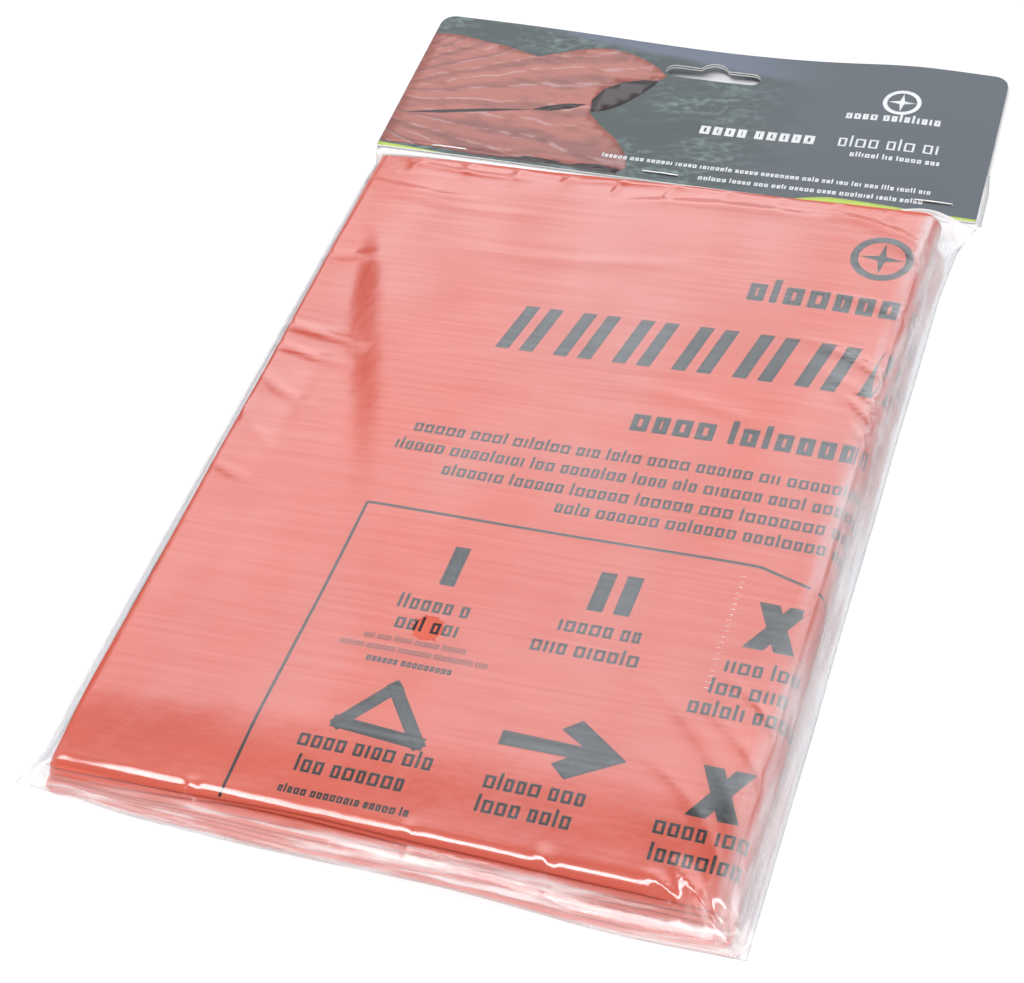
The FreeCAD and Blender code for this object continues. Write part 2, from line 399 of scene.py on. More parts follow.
# ---- finishes -------------------------------------------------------------------------------
@dataclass(frozen=True)
class OrangePolythene:
    """Bright orange film: faint draw lines across, and painted shade in dark lines between plies on
    the edges.
    """

    bright: Colour = (0.62, 0.118, 0.072)
    deep: Colour = (0.44, 0.050, 0.042)
    ply: float = 0.24

    def material(self) -> bpy.types.Material:
        """The material: draw lines and clouds on the flat, and ply lines of painted shade on the
        edges.
        """
        paint = Paint("orange_polythene")
        normal = paint.add("ShaderNodeNewGeometry", {}, {}, "Normal")
        level = paint.add("ShaderNodeSeparateXYZ", {}, {"Vector": normal}, "Z").absolute()
        edge = 1.0 - level.step(0.15, 0.75)
        drawn = paint.noise((0.015, 1.6, 0.015), 2.0)
        cloud = paint.noise((0.02, 0.016, 0.05), 2.0)
        wander = paint.noise((0.03, 0.03, 0.4), 2.0)
        height = paint.axis((0, 0, 1)) + wander * 1.4
        # Painted shade: dark lines between the stacked plies on the edge faces, which deepen the tone
        # there.
        plies = (height * (2 * math.pi / self.ply)).sine().step(0.1, 0.95) * edge
        tone = (cloud.step(0.3, 0.75) * 0.22 + (drawn - 0.5) * 0.20 + plies * 0.45).most(0.0)
        relief = drawn * 0.5 - plies * 1.2
        return paint.surface(paint.plain(
            Base_Color=paint.blend(tone, self.bright, self.deep), Roughness=0.42 + drawn * 0.12,
            Specular_IOR_Level=0.22, Normal=paint.bump(relief, 0.05)))


@dataclass(frozen=True)
class Ink:
    """Flat screen ink, a little thin in places."""

    name: str
    colour: Colour
    thin: Colour
    roughness: float = 0.4

    def material(self) -> bpy.types.Material:
        """The material: the colour, clouded towards the thinner one."""
        paint = Paint(self.name)
        cloud = paint.noise((0.35, 0.35, 0.35), 4.0)
        return paint.surface(paint.plain(
            Base_Color=paint.blend(cloud.step(0.45, 0.8), self.colour, self.thin),
            Roughness=self.roughness + cloud * 0.15))


@dataclass(frozen=True)
class ClearFilm:
    """Clear film: nearly all light passes, some is mirrored, and crumpled film turns milky.

    The milk has the tint over the pack, and painted light brightens it at the front edge and neck.
    """

    name: str = "clear_film"
    mirror: float = 2.2
    haze: float = 0.01
    milk: float = 0.0
    roughness: float = 0.12
    tint: Colour = (0.62, 0.61, 0.63)
    painted_light_milk: Colour = (0.90, 0.86, 0.86)
    silver: Colour = (0.93, 0.97, 1.0)
    clear: Colour = (0.985, 0.99, 0.99)
    passing: Colour = (0.97, 0.97, 0.97)

    def crumple(self, paint: Paint) -> Signal:
        """How milky the film is: most along its right side, some at its corners and ends.

        Args:
            paint: the material that the nodes are added to.

        Returns:
            The milky share, from 0 to about 0.6.
        """
        x, y = paint.axis((1, 0, 0)), paint.axis((0, 1, 0))
        folds = paint.noise((0.30, 0.035, 0.2), 4.0)
        drawn = paint.noise((0.035, 0.4, 0.4), 4.0)
        right = x.step(84.0, 93.0) * (0.12 + folds.step(0.3, 0.75) * 0.50)
        corner = x.step(66.0, 92.0) * y.step(-108.0, -130.0) * folds.step(0.35, 0.7) * 0.30
        front = y.step(-126.6, -128.6) * (0.13 + drawn.step(0.42, 0.68) * 0.44)
        ear = x.step(-91.0, -98.0) * y.step(-114.0, -125.0) * 0.50
        left = x.step(-94.5, -98.5) * 0.22
        # The neck's milk is partly crumpled film and partly painted light, raised to cover the card's
        # shade on the neck.
        neck = y.step(125.6, 128.4) * (0.42 + drawn * 0.2)
        return right.most(corner).most(front).most(ear).most(left).most(neck) + self.milk

    def material(self) -> bpy.types.Material:
        """The material: a clear shader mixed with one that is part mirror and part milk.

        The mirror's share is full / (full + 1) and a little haze, so it never reaches 1. Light
        from the lamps passes nearly whole, as it does through thin film.
        """
        paint = Paint(self.name)
        streaks = paint.noise((0.02, 0.9, 0.3), 3.0)
        grain = paint.noise((0.11, 0.09, 0.2), 3.0)
        facing = paint.add("ShaderNodeFresnel", {}, {"IOR": 1.5})
        cloud = paint.noise((0.022, 0.010, 0.05), 2.0)
        full = facing * self.mirror * (
            0.66 + streaks.step(0.30, 0.70) * 0.30 + cloud.step(0.32, 0.68) * 0.46)
        mirror = full / (full + 1.0) + self.haze
        milk = self.crumple(paint)
        share = 1.0 - (1.0 - mirror - milk).most(0.06)
        relief = grain * 0.7 + streaks * 0.05
        bright = mirror / (mirror + milk)
        # Painted light: the milk is brighter at the front edge and in the neck, where little lamp
        # light reaches the film.
        lit = paint.axis((0, 1, 0)).absolute().step(124.0, 126.5)
        milky = paint.blend(lit, self.tint, self.painted_light_milk)
        both = paint.plain(Base_Color=paint.blend(bright, milky, self.silver), Metallic=bright,
                           Roughness=self.roughness + grain * 0.06,
                           Normal=paint.bump(relief, 0.2))
        clear = paint.add("ShaderNodeBsdfTransparent", {}, {"Color": self.clear})
        seen = paint.add("ShaderNodeMixShader", {}, {0: share, 1: clear, 2: both})
        passing = paint.add("ShaderNodeBsdfTransparent", {}, {"Color": self.passing})
        lamp = paint.add("ShaderNodeLightPath", {}, {}, "Is Shadow Ray")
        return paint.surface(paint.add("ShaderNodeMixShader", {}, {0: lamp, 1: seen, 2: passing}))


@dataclass(frozen=True)
class SlateBoard:
    """Coated board, printed slate grey, with a hillside that fades out to the right."""

    slate: Colour = (0.047, 0.062, 0.080)
    turf: Colour = (0.020, 0.036, 0.038)
    glint: Colour = (0.13, 0.20, 0.20)
    sky: Colour = (0.085, 0.105, 0.16)
    paper: Colour = (0.80, 0.80, 0.78)

    def material(self, header: "HeaderFrame") -> bpy.types.Material:
        """The material, in the header's own directions.

        Args:
            header: gives the directions across and up the card.

        Returns:
            The finished material.
        """
        paint = Paint("slate_board")
        across, up = paint.on_card(header)
        blades = (up * 1.3 - across * 0.45 + paint.noise((0.06, 0.10, 0.06), 4.0) * 26.0).sine()
        grit = paint.noise((0.30, 0.45, 0.3), 6.0)
        clump = paint.noise((0.05, 0.09, 0.05), 4.0)
        lit = (blades.step(-0.2, 1.0) * 0.5 + grit.step(0.45, 0.72)) * clump.step(0.36, 0.66)
        ground = paint.blend(lit * 0.75, self.turf, self.glint)
        hazy = paint.blend((up + across * 0.14 + clump * 6.0).step(66.0, 71.0), ground, self.sky)
        fade = (across + clump * 26.0 - 13.0).step(46.0, 4.0)
        print_ink = paint.blend(fade, self.slate, hazy)
        fibre = paint.noise((2.5, 2.5, 2.5), 2.0)
        return paint.surface(paint.plain(
            Base_Color=paint.blend(up.step(0.16, 0.10), print_ink, self.paper),
            Roughness=0.36 + fibre * 0.1, Specular_IOR_Level=0.5, Coat_Weight=0.3,
            Coat_Roughness=0.28, Normal=paint.bump(fibre, 0.012)))


@dataclass(frozen=True)
class PrintedCloth:
    """The picture of an orange bag: folds that fan out from its foot, pale where they shine."""

    name: str = "printed_bag_picture"
    light: Colour = (0.40, 0.125, 0.098)
    dark: Colour = (0.13, 0.045, 0.045)
    pale: Colour = (0.52, 0.36, 0.37)

    def material(self, header: "HeaderFrame") -> bpy.types.Material:
        """The material, with its folds drawn along the picture.

        Args:
            header: gives the directions across and up the card.

        Returns:
            The finished material.
        """
        paint = Paint(self.name)
        across, up = paint.on_card(header)
        drift = paint.noise((0.035, 0.05, 0.04), 4.0)
        fan = (up - 22.0) / (across + 128.0)
        folds = (fan * 34.0 + drift * 9.0).sine().step(0.0, 1.0)
        fine = paint.noise((0.10, 0.34, 0.2), 5.0)
        shade = folds * 0.38 + fine.step(0.46, 0.78) * 0.45 + up.step(30.0, 4.0) * 0.22
        lit = (fan * 51.0 + drift * 14.0).sine().step(0.72, 1.0) * fine.step(0.58, 0.40)
        body = paint.blend(shade, self.light, self.dark)
        return paint.surface(paint.plain(Base_Color=paint.blend(lit * 0.42, body, self.pale),
                                         Roughness=0.40 + fine * 0.1, Coat_Weight=0.3,
                                         Coat_Roughness=0.28))


@dataclass(frozen=True)
class DrawnWire:
    """Bright steel wire with fine draw marks."""

    tone: Colour = (0.80, 0.79, 0.77)
    worn: Colour = (0.58, 0.57, 0.55)

    def material(self) -> bpy.types.Material:
        """The material: the tone, worn along the draw marks."""
        paint = Paint("drawn_wire")
        marks = paint.noise((0.6, 9.0, 9.0), 3.0)
        return paint.surface(paint.plain(
            Base_Color=paint.blend(marks, self.tone, self.worn), Metallic=1.0,
            Roughness=0.24 + marks * 0.16, Normal=paint.bump(marks, 0.01)))


@dataclass(frozen=True)
class PaleFloor:
    """The plain floor."""

    tone: float = 0.96
    shade: float = 0.015

    def material(self) -> bpy.types.Material:
        """The material, with a trace of cloud."""
        paint = Paint("pale_floor")
        cloud = paint.noise((0.004, 0.004, 0.004), 2.0)
        bright, dim = (self.tone,) * 3, (self.tone - self.shade,) * 3
        return paint.surface(paint.plain(Base_Color=paint.blend(cloud, bright, dim), Roughness=0.9))


# ---- places ---------------------------------------------------------------------------------
@dataclass(frozen=True)
class HeaderFrame:
    """The header's own directions: along its swing line, up the card, and out of its face."""

    origin: Array
    along: Array
    up: Array
    face: Array
    edge_gap: float = 1.2

    @classmethod
    def from_joint(cls, joint: dict, pitch: float = -0.4) -> "HeaderFrame":
        """The directions at rest, from the swing joint and the card's small pitch.

        Args:
            joint: the record's joint, with its place in metres and its axis.
            pitch: how far the card's far end is turned about the swing line, in degrees.

        Returns:
            The header's frame, in millimetres.
        """
        along = np.array(joint["axis"], float)
        along /= np.linalg.norm(along)
        level = np.cross((0, 0, 1), along)
        level /= np.linalg.norm(level)
        turn = math.radians(pitch)
        up = level * math.cos(turn) + np.cross(along, level) * math.sin(turn)
        return cls(np.array(joint["pos_m"], float) / MM, along, up, np.cross(along, up))

    def put(self, across: Array, up: Array, out: Array | float) -> Array:
        """Places in the row frame for places on the card.

        Args:
            across: along the swing line from its middle.
            up: up the card from its lower edge.
            out: out of the card's middle plane.

        Returns:
            An array of points.
        """
        across, up, out = np.broadcast_arrays(across, up, out)
        return (self.origin + across[..., None] * self.along
                + (up[..., None] + self.edge_gap) * self.up + out[..., None] * self.face)

    def bend(self, across: Array, up: Array) -> Array:
        """How far the board bows out of its plane: a sag in its top edge, then a rise."""
        share = np.clip(up, -5.0, 75.0) / 75.0
        sag = np.exp(-((across - 6.0) / 55.0) ** 2) * (-0.25 - 2.5 * share)
        return sag + 1.3 * share * np.exp(-((across - 69.0) / 22.0) ** 2)

    def swing_at(self, x: Array) -> tuple[Array, Array]:
        """The Y and Z of the swing line at each X."""
        share = (x - self.origin[0]) / self.along[0]
        return self.origin[1] + share * self.along[1], self.origin[2] + share * self.along[2]


@dataclass(frozen=True)
class PolybagOutline:
    """The flat outline of the clear bag, with its left front corner drawn out to an ear."""

    ear: tuple[float, float] = (-103.2, -130.3)
    corner: tuple[float, float] = (97.3, -133.3)

    def left(self, y: Array) -> Array:
        """The X of the left edge at each Y."""
        return np.interp(y, (-130.5, -120.0, 20.0, 118.0, 126.0, 129.5),
                         (self.ear[0], -101.8, -101.4, -100.2, -99.2, -97.0))

    def right(self, y: Array) -> Array:
        """The X of the right edge at each Y."""
        return np.interp(y, (-133.5, 0.0, 100.0, 122.0, 134.4), (97.3, 97.6, 98.0, 99.6, 104.4))

    def front(self, x: Array) -> Array:
        """The Y of the front edge at each X, with the slow wave of a limp edge."""
        share = (x - self.ear[0]) / (self.corner[0] - self.ear[0])
        line = self.ear[1] + share * (self.corner[1] - self.ear[1])
        dip = 1.3 * np.exp(-((x + 88.0) / 9.0) ** 2) - 1.0 * np.exp(-((x - 60.0) / 26.0) ** 2)
        return line + dip + 0.5 * np.sin(x / 17.0) * np.sin(math.pi * share)


@dataclass(frozen=True)
class StackShape:
    """The folded bag's sizes, read from its outermost wrap, and its upper surface."""

    left: float
    right: float
    front: float
    rear: float
    bottom: float
    top: float
    pitch: float = 1.55
    thickness: float = 1.45
    wraps: int = 4
    drift: float = 2.2

    @classmethod
    def from_node(cls, node: str) -> "StackShape":
        """Reads the sizes of a node's box."""
        low, high = (np.array(corner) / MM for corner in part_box(node))
        return cls(low[0], high[0], low[1], high[1], low[2] - 0.05, high[2] + 0.05)

    @property
    def middle(self) -> float:
        """The height of the stack's middle plane."""
        return (self.bottom + self.top) / 2

    @property
    def spine_x(self) -> float:
        """The X of the line that the wraps turn round at the right."""
        return self.right - self.wraps * self.pitch

    def sag(self, x: Array, y: Array) -> Array:
        """How far the top surface lies above or below its plane.

        It falls towards all four edges and rolls over at the front one. It has soft
        unevenness of its own, and a shallow hollow at the rear left.
        """
        front = (1.35 + 0.5 * smooth(x, 30.0, -80.0)) * smooth(y, self.front + 30.0, self.front)
        roll = 1.1 * np.clip((self.front + 5.0 - y) / 5.0, 0.0, 1.2) ** 2
        side = 0.7 * smooth(x, self.left + 24.0, self.left) + 0.6 * smooth(x, 66.0, 90.0)
        rear = 0.4 * smooth(y, self.rear - 14.0, self.rear)
        uneven = 0.26 * swell(x, y, 11, 95.0) + 0.05 * swell(x, y, 12, 34.0)
        return uneven - front - roll - side - rear + self.bight(x, y)

    def bight(self, x: Array, y: Array) -> Array:
        """A shallow hollow along the left of a long bowed crease, at the rear left.

        Across it is a smooth step down 17 mm wide and a smooth step back up to the left edge,
        and its depth swells and fades along the crease.
        """
        crease_x = np.interp(y, (-93.0, -58.0, -21.0, 17.0, 41.0, 58.0, 71.0, 96.0),
                             (-33.0, -33.0, -36.0, -48.0, -58.0, -64.0, -70.0, -84.0))
        depth = 1.7 * smooth(y, -95.0, 40.0) * smooth(y, 108.0, 78.0)
        return -depth * smooth(crease_x - x, 0.0, 17.0) * smooth(x, self.left - 2.0, self.left + 16.0)

    def carry(self, points: Array) -> Array:
        """Moves points with the stack's unevenness, less the lower they lie."""
        share = np.clip((points[..., 2] - self.bottom) / (self.top - self.bottom), 0, 1)
        moved = points.copy()
        moved[..., 2] += self.sag(points[..., 0], points[..., 1]) * share
        return moved

    def skin(self, across: Array, along: Array, lift: float) -> Array:
        """Places on the outermost wrap: flat as far as the spine line, then round the spine.

        Args:
            across: distance across, which is X as far as the spine line.
            along: Y.
            lift: height above the surface.

        Returns:
            An array of points.
        """
        radius = self.wraps * self.pitch - 0.05 + lift
        turn = np.clip((across - self.spine_x) / radius, 0.0, 2.6)
        x = np.minimum(across, self.spine_x) + radius * np.sin(turn)
        z = self.middle + radius * np.cos(turn)
        return self.carry(np.stack([x, along, z], -1))


# ---- the folded bag -------------------------------------------------------------------------
@dataclass
class FoldedBag:
    """The bag's two walls, each one sheet of plies that goes twice round the spine."""

    shape: StackShape
    outline: PolybagOutline = field(default_factory=PolybagOutline)
    finish: OrangePolythene = field(default_factory=OrangePolythene)

    def path(self, outer: int, inner: int, fold_radius: float) -> tuple[Array, Array, Array]:
        """The sheet's middle line in X and Z, from its upper left end to its last end.

        It runs right along the top, round the spine, back along the bottom, round the edge
        fold, right again, round the spine inside the first turn, and back to the left.

        Args:
            outer: the number of the outer wrap, 0 for the outermost.
            inner: the number of the inner wrap.
            fold_radius: the edge fold's radius at its middle line.

        Returns:
            The X and the Z of the line, and how far each point is from the nearer end.
        """
        s = self.shape
        radii = [(s.wraps - wrap) * s.pitch - s.pitch / 2 for wrap in (outer, inner)]
        fold_x = s.left - s.drift + s.wraps * s.pitch / 2
        fold_z = s.bottom + s.wraps * s.pitch / 2
        turn = np.linspace(0, math.pi, 21)
        top = spaced((s.left, 0.15), (s.left + 0.9, 2.2), (s.spine_x, 1.0))[:-1]
        low = spaced((s.spine_x, 6.5), (fold_x, 1.0))[1:-1]
        ring = [np.stack([s.spine_x + radii[0] * np.sin(turn), s.middle + radii[0] * np.cos(turn)]),
                np.stack([s.spine_x + radii[1] * np.sin(turn), s.middle - radii[1] * np.cos(turn)])]
        fold = np.stack([fold_x - fold_radius * np.sin(turn), fold_z - fold_radius * np.cos(turn)])
        last = spaced((s.spine_x, 6.5), (s.left + 0.9, 0.15), (s.left, 1.0))[1:]
        runs = [np.stack([top, np.full_like(top, s.middle + radii[0])]), ring[0],
                np.stack([low, np.full_like(low, s.middle - radii[0])]), fold,
                np.stack([low[::-1], np.full_like(low, s.middle - radii[1])]), ring[1],
                np.stack([last, np.full_like(last, s.middle + radii[1])])]
        line = np.concatenate(runs, 1)
        length = np.concatenate([[0], np.cumsum(np.hypot(*np.diff(line)))])
        return line[0], line[1], np.minimum(length, length[-1] - length)

    def ends(self, x: Array, z: Array, seed: int) -> tuple[Array, Array]:
        """The Y of the front and rear edges at each point of the line.

        The upper plies stand back in the middle of the front edge, and every level has its
        own slow wave.
        """
        s = self.shape
        share = (z - s.bottom) / (s.top - s.bottom)
        back = 2.4 * np.exp(-((x + 22.0) / 38.0) ** 2) * smooth(share, 0.45, 1.0)
        wave = 0.5 * swell(x, z * 9.0, seed, 120.0) + 0.35 * swell(x, z * 30.0, seed + 1, 60.0)
        top = s.front + 1.2 + back
        foot = np.minimum(self.outline.front(x) + 1.7, s.front - 0.5)
        front = foot + (top - foot) * np.clip(share, 0, 1) ** 1.3 + wave
        rear = s.rear - 0.6 + 0.7 * swell(x, z * 14.0, seed + 2, 90.0)
        return front, rear

    def wall(self, name: str, outer: int, inner: int, fold_radius: float,
             seed: int) -> bpy.types.Object:
        """One sheet: at each point of its line, a slab section with round front and rear folds.

        Args:
            name: the piece's name.
            outer: the outer wrap's number.
            inner: the inner wrap's number.
            fold_radius: the edge fold's middle radius.
            seed: fixes its unevenness.

        Returns:
            The finished piece.
        """
        s = self.shape
        x, z, end = self.path(outer, inner, fold_radius)
        step = np.stack([np.gradient(x), np.gradient(z)])
        step /= np.hypot(*step)
        half = s.thickness / 2 * np.sqrt(np.clip(1 - (1 - np.clip(end / 0.9, 0, 1)) ** 2, 0.02, 1))
        front, rear = self.ends(x, z, seed)
        flat = spaced((0.0, 0.012), (0.12, 0.014), (0.88, 0.012), (1.0, 1.0))
        coarse = spaced((1.0, 0.04), (0.0, 1.0))[1:-1]
        arc = np.linspace(0, math.pi, 9)[1:-1]
        share = np.concatenate([flat, np.ones_like(arc), coarse, np.zeros_like(arc)])
        lift = np.concatenate([np.ones_like(flat), np.cos(arc), -np.ones_like(coarse), -np.cos(arc)])
        reach = np.concatenate([0 * flat, np.sin(arc), 0 * coarse, -np.sin(arc)])
        y = front[:, None] + (rear - front)[:, None] * share + half[:, None] * reach
        out = half[:, None] * lift
        points = np.stack([x[:, None] - step[1][:, None] * out, y,
                           z[:, None] + step[0][:, None] * out], -1)
        return Shell().tube(s.carry(points)).build(name)

    def build(self) -> list[bpy.types.Object]:
        """Both walls, dressed, riding on the pack and standing for the CAD wraps."""
        s = self.shape
        material = self.finish.material()
        rows = (("bag_outer_wall", 0, 3, s.pitch * 1.5, 21, ("1", "4"), "outer"),
                ("bag_inner_wall", 1, 2, s.pitch * 0.5, 31, ("2", "3"), "inner"))
        made = []
        for name, outer, inner, radius, seed, wraps, fold in rows:
            piece = self.wall(name, outer, inner, radius, seed)
            piece.data.materials.append(material)
            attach(piece, "pack")
            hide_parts(*(f"bag_wrap_{wrap}" for wrap in wraps), f"bag_edge_fold_{fold}")
            made.append(piece)
        return made


# ---- print ----------------------------------------------------------------------------------
class Weight(Enum):
    """How heavy a line of blocked-out print is: its strokes' share of its height."""

    LIGHT = 0.16
    MEDIUM = 0.22
    BOLD = 0.29


@dataclass
class Artwork:
    """Flat print shapes, as outlines in millimetres, which are then laid on a surface."""

    outlines: list[Array] = field(default_factory=list)

    def bar(self, x0: float, y0: float, x1: float, y1: float, lean: float = 0.0) -> "Artwork":
        """Adds a block, with its top moved sideways by lean."""
        self.outlines.append(np.array([(x0, y0), (x1, y0), (x1 + lean, y1), (x0 + lean, y1)]))
        return self

    def stroke(self, start: tuple[float, float], end: tuple[float, float],
               width: float) -> "Artwork":
        """Adds a straight stroke with square ends."""
        a, b = np.array(start, float), np.array(end, float)
        side = np.array([a[1] - b[1], b[0] - a[0]]) / np.hypot(*(b - a)) * width / 2
        self.outlines.append(np.array([a - side, b - side, b + side, a + side]))
        return self

    def ring(self, centre: tuple[float, float], radius: float, width: float,
             pieces: int = 36) -> "Artwork":
        """Adds a ring, as a row of short blocks."""
        turn = np.linspace(0, 2 * math.pi, pieces + 1)
        rays = np.stack([np.cos(turn), np.sin(turn)], -1)
        outer, inner = centre + rays * radius, centre + rays * (radius - width)
        self.outlines += [np.array([inner[i], outer[i], outer[i + 1], inner[i + 1]])
                          for i in range(pieces)]
        return self

    def needle(self, centre: tuple[float, float], radius: float) -> "Artwork":
        """Adds a four-pointed compass star."""
        for quarter in range(4):
            way = quarter * math.pi / 2
            tip = centre + radius * np.array([math.cos(way), math.sin(way)])
            sides = [centre + 0.24 * radius * np.array([math.cos(way + turn), math.sin(way + turn)])
                     for turn in (-math.pi / 4, math.pi / 4)]
            self.outlines.append(np.array([centre, sides[0], tip, sides[1]]))
        return self

    def cross(self, middle: tuple[float, float], half: float, tall: float,
              arm: float) -> "Artwork":
        """Adds a leaning cross of two slanted arms that are cut level at their ends.

        Args:
            middle: the crossing point.
            half: half the width.
            tall: the height.
            arm: an arm's width, measured level.

        Returns:
            This artwork.
        """
        notch = tall * arm / (2 * (2 * half - arm))
        corners = np.array([
            (-half, tall / 2), (arm - half, tall / 2), (0, notch), (half - arm, tall / 2),
            (half, tall / 2), (arm / 2, 0), (half, -tall / 2), (half - arm, -tall / 2),
            (0, -notch), (arm - half, -tall / 2), (-half, -tall / 2), (-arm / 2, 0)])
        corners[:, 0] += 0.06 * corners[:, 1]
        self.outlines.append(corners + middle)
        return self

    def words(self, x0: float, x1: float, base: float, size: float, weight: Weight,
              seed: int, climb: float = 0.0) -> "Artwork":
        """Adds a line of blocked-out print: open boxes and uprights, in word groups.

        Args:
            x0: where the line starts.
            x1: where it ends.
            base: its base line at its start.
            size: the boxes' height.
            weight: how thick the strokes are, as a share of the height.
            seed: fixes the widths.
            climb: how much the base line rises for each millimetre across.

        Returns:
            This artwork.
        """
        rng = np.random.default_rng(seed)
        x, left, stem = x0, int(rng.integers(3, 9)), size * weight.value
        while x < x1 - 0.5 * size:
            foot = base + (x - x0) * climb
            if left == 0:
                x += 0.42 * size
                left = int(rng.integers(3, 10))
                continue
            left -= 1
            if rng.random() < 0.24:
                self.bar(x, foot, x + stem, foot + size * rng.choice((1.0, 1.36)))
                x += stem + 0.26 * size
            else:
                wide = min(size * rng.uniform(0.62, 0.80), x1 - x)
                self.box(x, foot, x + wide, foot + size, stem)
                x += wide + 0.24 * size
        return self

    def box(self, x0: float, y0: float, x1: float, y1: float, stem: float) -> "Artwork":
        """Adds an open box, two uprights with a bar at the foot and one at the head."""
        level = stem * 0.9
        self.bar(x0, y0, x0 + stem, y1).bar(x1 - stem, y0, x1, y1)
        self.bar(x0 + stem, y0, x1 - stem, y0 + level)
        return self.bar(x0 + stem, y1 - level, x1 - stem, y1)

    def lay(self, name: str, surface: Callable[[Array, Array], Array],
            cell: float) -> bpy.types.Object:
        """Cuts the shapes into cells, lays them on a surface and gives them a thickness.

        Args:
            name: the piece's name.
            surface: takes two arrays, across and along, and returns the points.
            cell: the largest size of a cell.

        Returns:
            The finished piece.
        """
        shell = Shell()
        for outline in self.outlines:
            shell.outline(np.column_stack([outline, np.zeros(len(outline))]))
        piece = shell.build(name)
        form = bmesh.new()
        form.from_mesh(piece.data)
        box = np.concatenate(self.outlines)
        for axis in (0, 1):
            for cut in np.arange(box[:, axis].min() + cell, box[:, axis].max(), cell):
                place, normal = Vector((0, 0, 0)), Vector((0, 0, 0))
                place[axis], normal[axis] = cut * MM, 1.0
                bmesh.ops.bisect_plane(form, geom=form.verts[:] + form.edges[:] + form.faces[:],
                                       plane_co=place, plane_no=normal)
        bmesh.ops.triangulate(form, faces=[face for face in form.faces if len(face.verts) > 4])
        for face in form.faces:
            if face.normal.z < 0:
                face.normal_flip()
        form.to_mesh(piece.data)
        form.free()
        flat = np.empty(len(piece.data.vertices) * 3)
        piece.data.vertices.foreach_get("co", flat)
        flat = flat.reshape(-1, 3) / MM
        piece.data.vertices.foreach_set("co", (surface(flat[:, 0], flat[:, 1]) * MM).ravel())
        body = piece.modifiers.new("ink", "SOLIDIFY")
        body.thickness, body.offset = 0.02 * MM, -1.0
        return settle(piece)


@dataclass
class BagPrint:
    """The print on the bag: a mark, blocked-out wording, and the ground signals in a frame."""

    shape: StackShape
    lift: float = 0.05
    fold_end: float = 101.0

    def wording(self, art: Artwork) -> None:
        """The headline's slanted bars, and the lines of blocked-out wording.

        A line's row gives its start, its end, its base line, its height and its weight.
        """
        end, foot, head, lean = self.fold_end, 44.6, 63.6, 4.2
        for number in range(7):
            x = -25.5 + number * 18.4
            art.bar(x, foot, x + 4.3, head, lean).bar(x + 7.6, foot, x + 11.9, head, lean)
        lines = ((44.0, end, 77.6, 7.6, Weight.BOLD), (24.5, end - 3, 18.6, 6.6, Weight.BOLD),
                 (-37.8, end, 6.2, 3.3, Weight.MEDIUM), (-41.0, end, -1.3, 3.3, Weight.MEDIUM),
                 (-23.8, end, -8.8, 3.3, Weight.MEDIUM), (12.6, end, -15.8, 3.3, Weight.MEDIUM),
                 (-19.3, 2.8, -57.2, 3.7, Weight.MEDIUM), (-17.5, 1.4, -64.2, 3.7, Weight.MEDIUM),
                 (-24.5, 5.0, -68.9, 1.5, Weight.LIGHT), (-30.3, 12.0, -72.3, 1.5, Weight.LIGHT),
                 (-21.0, 4.8, -76.4, 1.7, Weight.BOLD), (26.3, 49.0, -55.6, 3.7, Weight.MEDIUM),
                 (21.0, 53.8, -63.4, 3.7, Weight.MEDIUM), (73.0, 93.3, -59.6, 3.7, Weight.MEDIUM),
                 (70.8, 93.8, -67.0, 3.7, Weight.MEDIUM), (67.0, end, -74.0, 3.7, Weight.MEDIUM),
                 (-29.0, 8.4, -106.2, 3.7, Weight.MEDIUM), (-27.0, 3.0, -113.6, 3.7, Weight.MEDIUM),
                 (-29.0, 8.4, -120.2, 1.9, Weight.BOLD), (23.0, 50.0, -107.6, 3.7, Weight.MEDIUM),
                 (23.0, 49.0, -114.6, 3.7, Weight.MEDIUM), (68.3, 95.0, -110.6, 3.7, Weight.MEDIUM),
                 (69.0, 96.0, -118.0, 3.7, Weight.MEDIUM))
        for number, (x0, x1, base, size, weight) in enumerate(lines):
            art.words(x0, x1, base, size, weight, 100 + number)

    def signals(self, art: Artwork) -> None:
        """The frame's lines, and the signals: one bar, two bars, crosses, a triangle, an arrow."""
        rule, near, bend, far = 0.85, (74.0, -23.6), (92.0, -28.6), (103.0, -38.0)
        art.stroke((-41.0, -23.0), near, rule).stroke(near, bend, rule).stroke(bend, far, rule)
        art.stroke((-41.0, -23.0), (-43.4, -125.0), rule)
        art.bar(-10.4, -47.4, -6.0, -33.6, 0.3)
        for x in (31.9, 39.4):
            art.bar(x, -47.4, x + 4.5, -33.9, 0.5)
        art.cross((83.0, -42.9), 7.0, 15.6, 5.6).cross((82.0, -96.3), 6.9, 15.2, 5.4)
        corners = [(-9.6, -83.6), (-20.4, -97.2), (2.2, -99.0)]
        for start, end in zip(corners, corners[1:] + corners[:1]):
            run = np.subtract(end, start)
            reach = run / np.hypot(*run) * 1.9
            art.stroke(tuple(start - reach), tuple(end + reach), 3.8)
        art.outlines.append(np.array([
            (22.8, -94.4), (41.6, -94.4), (38.0, -97.2), (42.6, -101.0), (56.6, -92.4),
            (42.2, -82.6), (37.6, -86.4), (44.4, -90.4), (22.8, -89.9)]))

    def build(self) -> list[bpy.types.Object]:
        """The printed piece, on the outer wall."""
        art = Artwork()
        art.ring((80.0, 103.0), 9.6, 2.4).needle((80.0, 103.0), 6.6)
        self.wording(art)
        self.signals(art)
        piece = art.lay("bag_print",
                        lambda across, along: self.shape.skin(across, along, self.lift), 3.0)
        piece.data.materials.append(
            Ink("bag_ink", (0.010, 0.011, 0.013), (0.022, 0.024, 0.027)).material())
        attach(piece, "pack")
        return [piece]


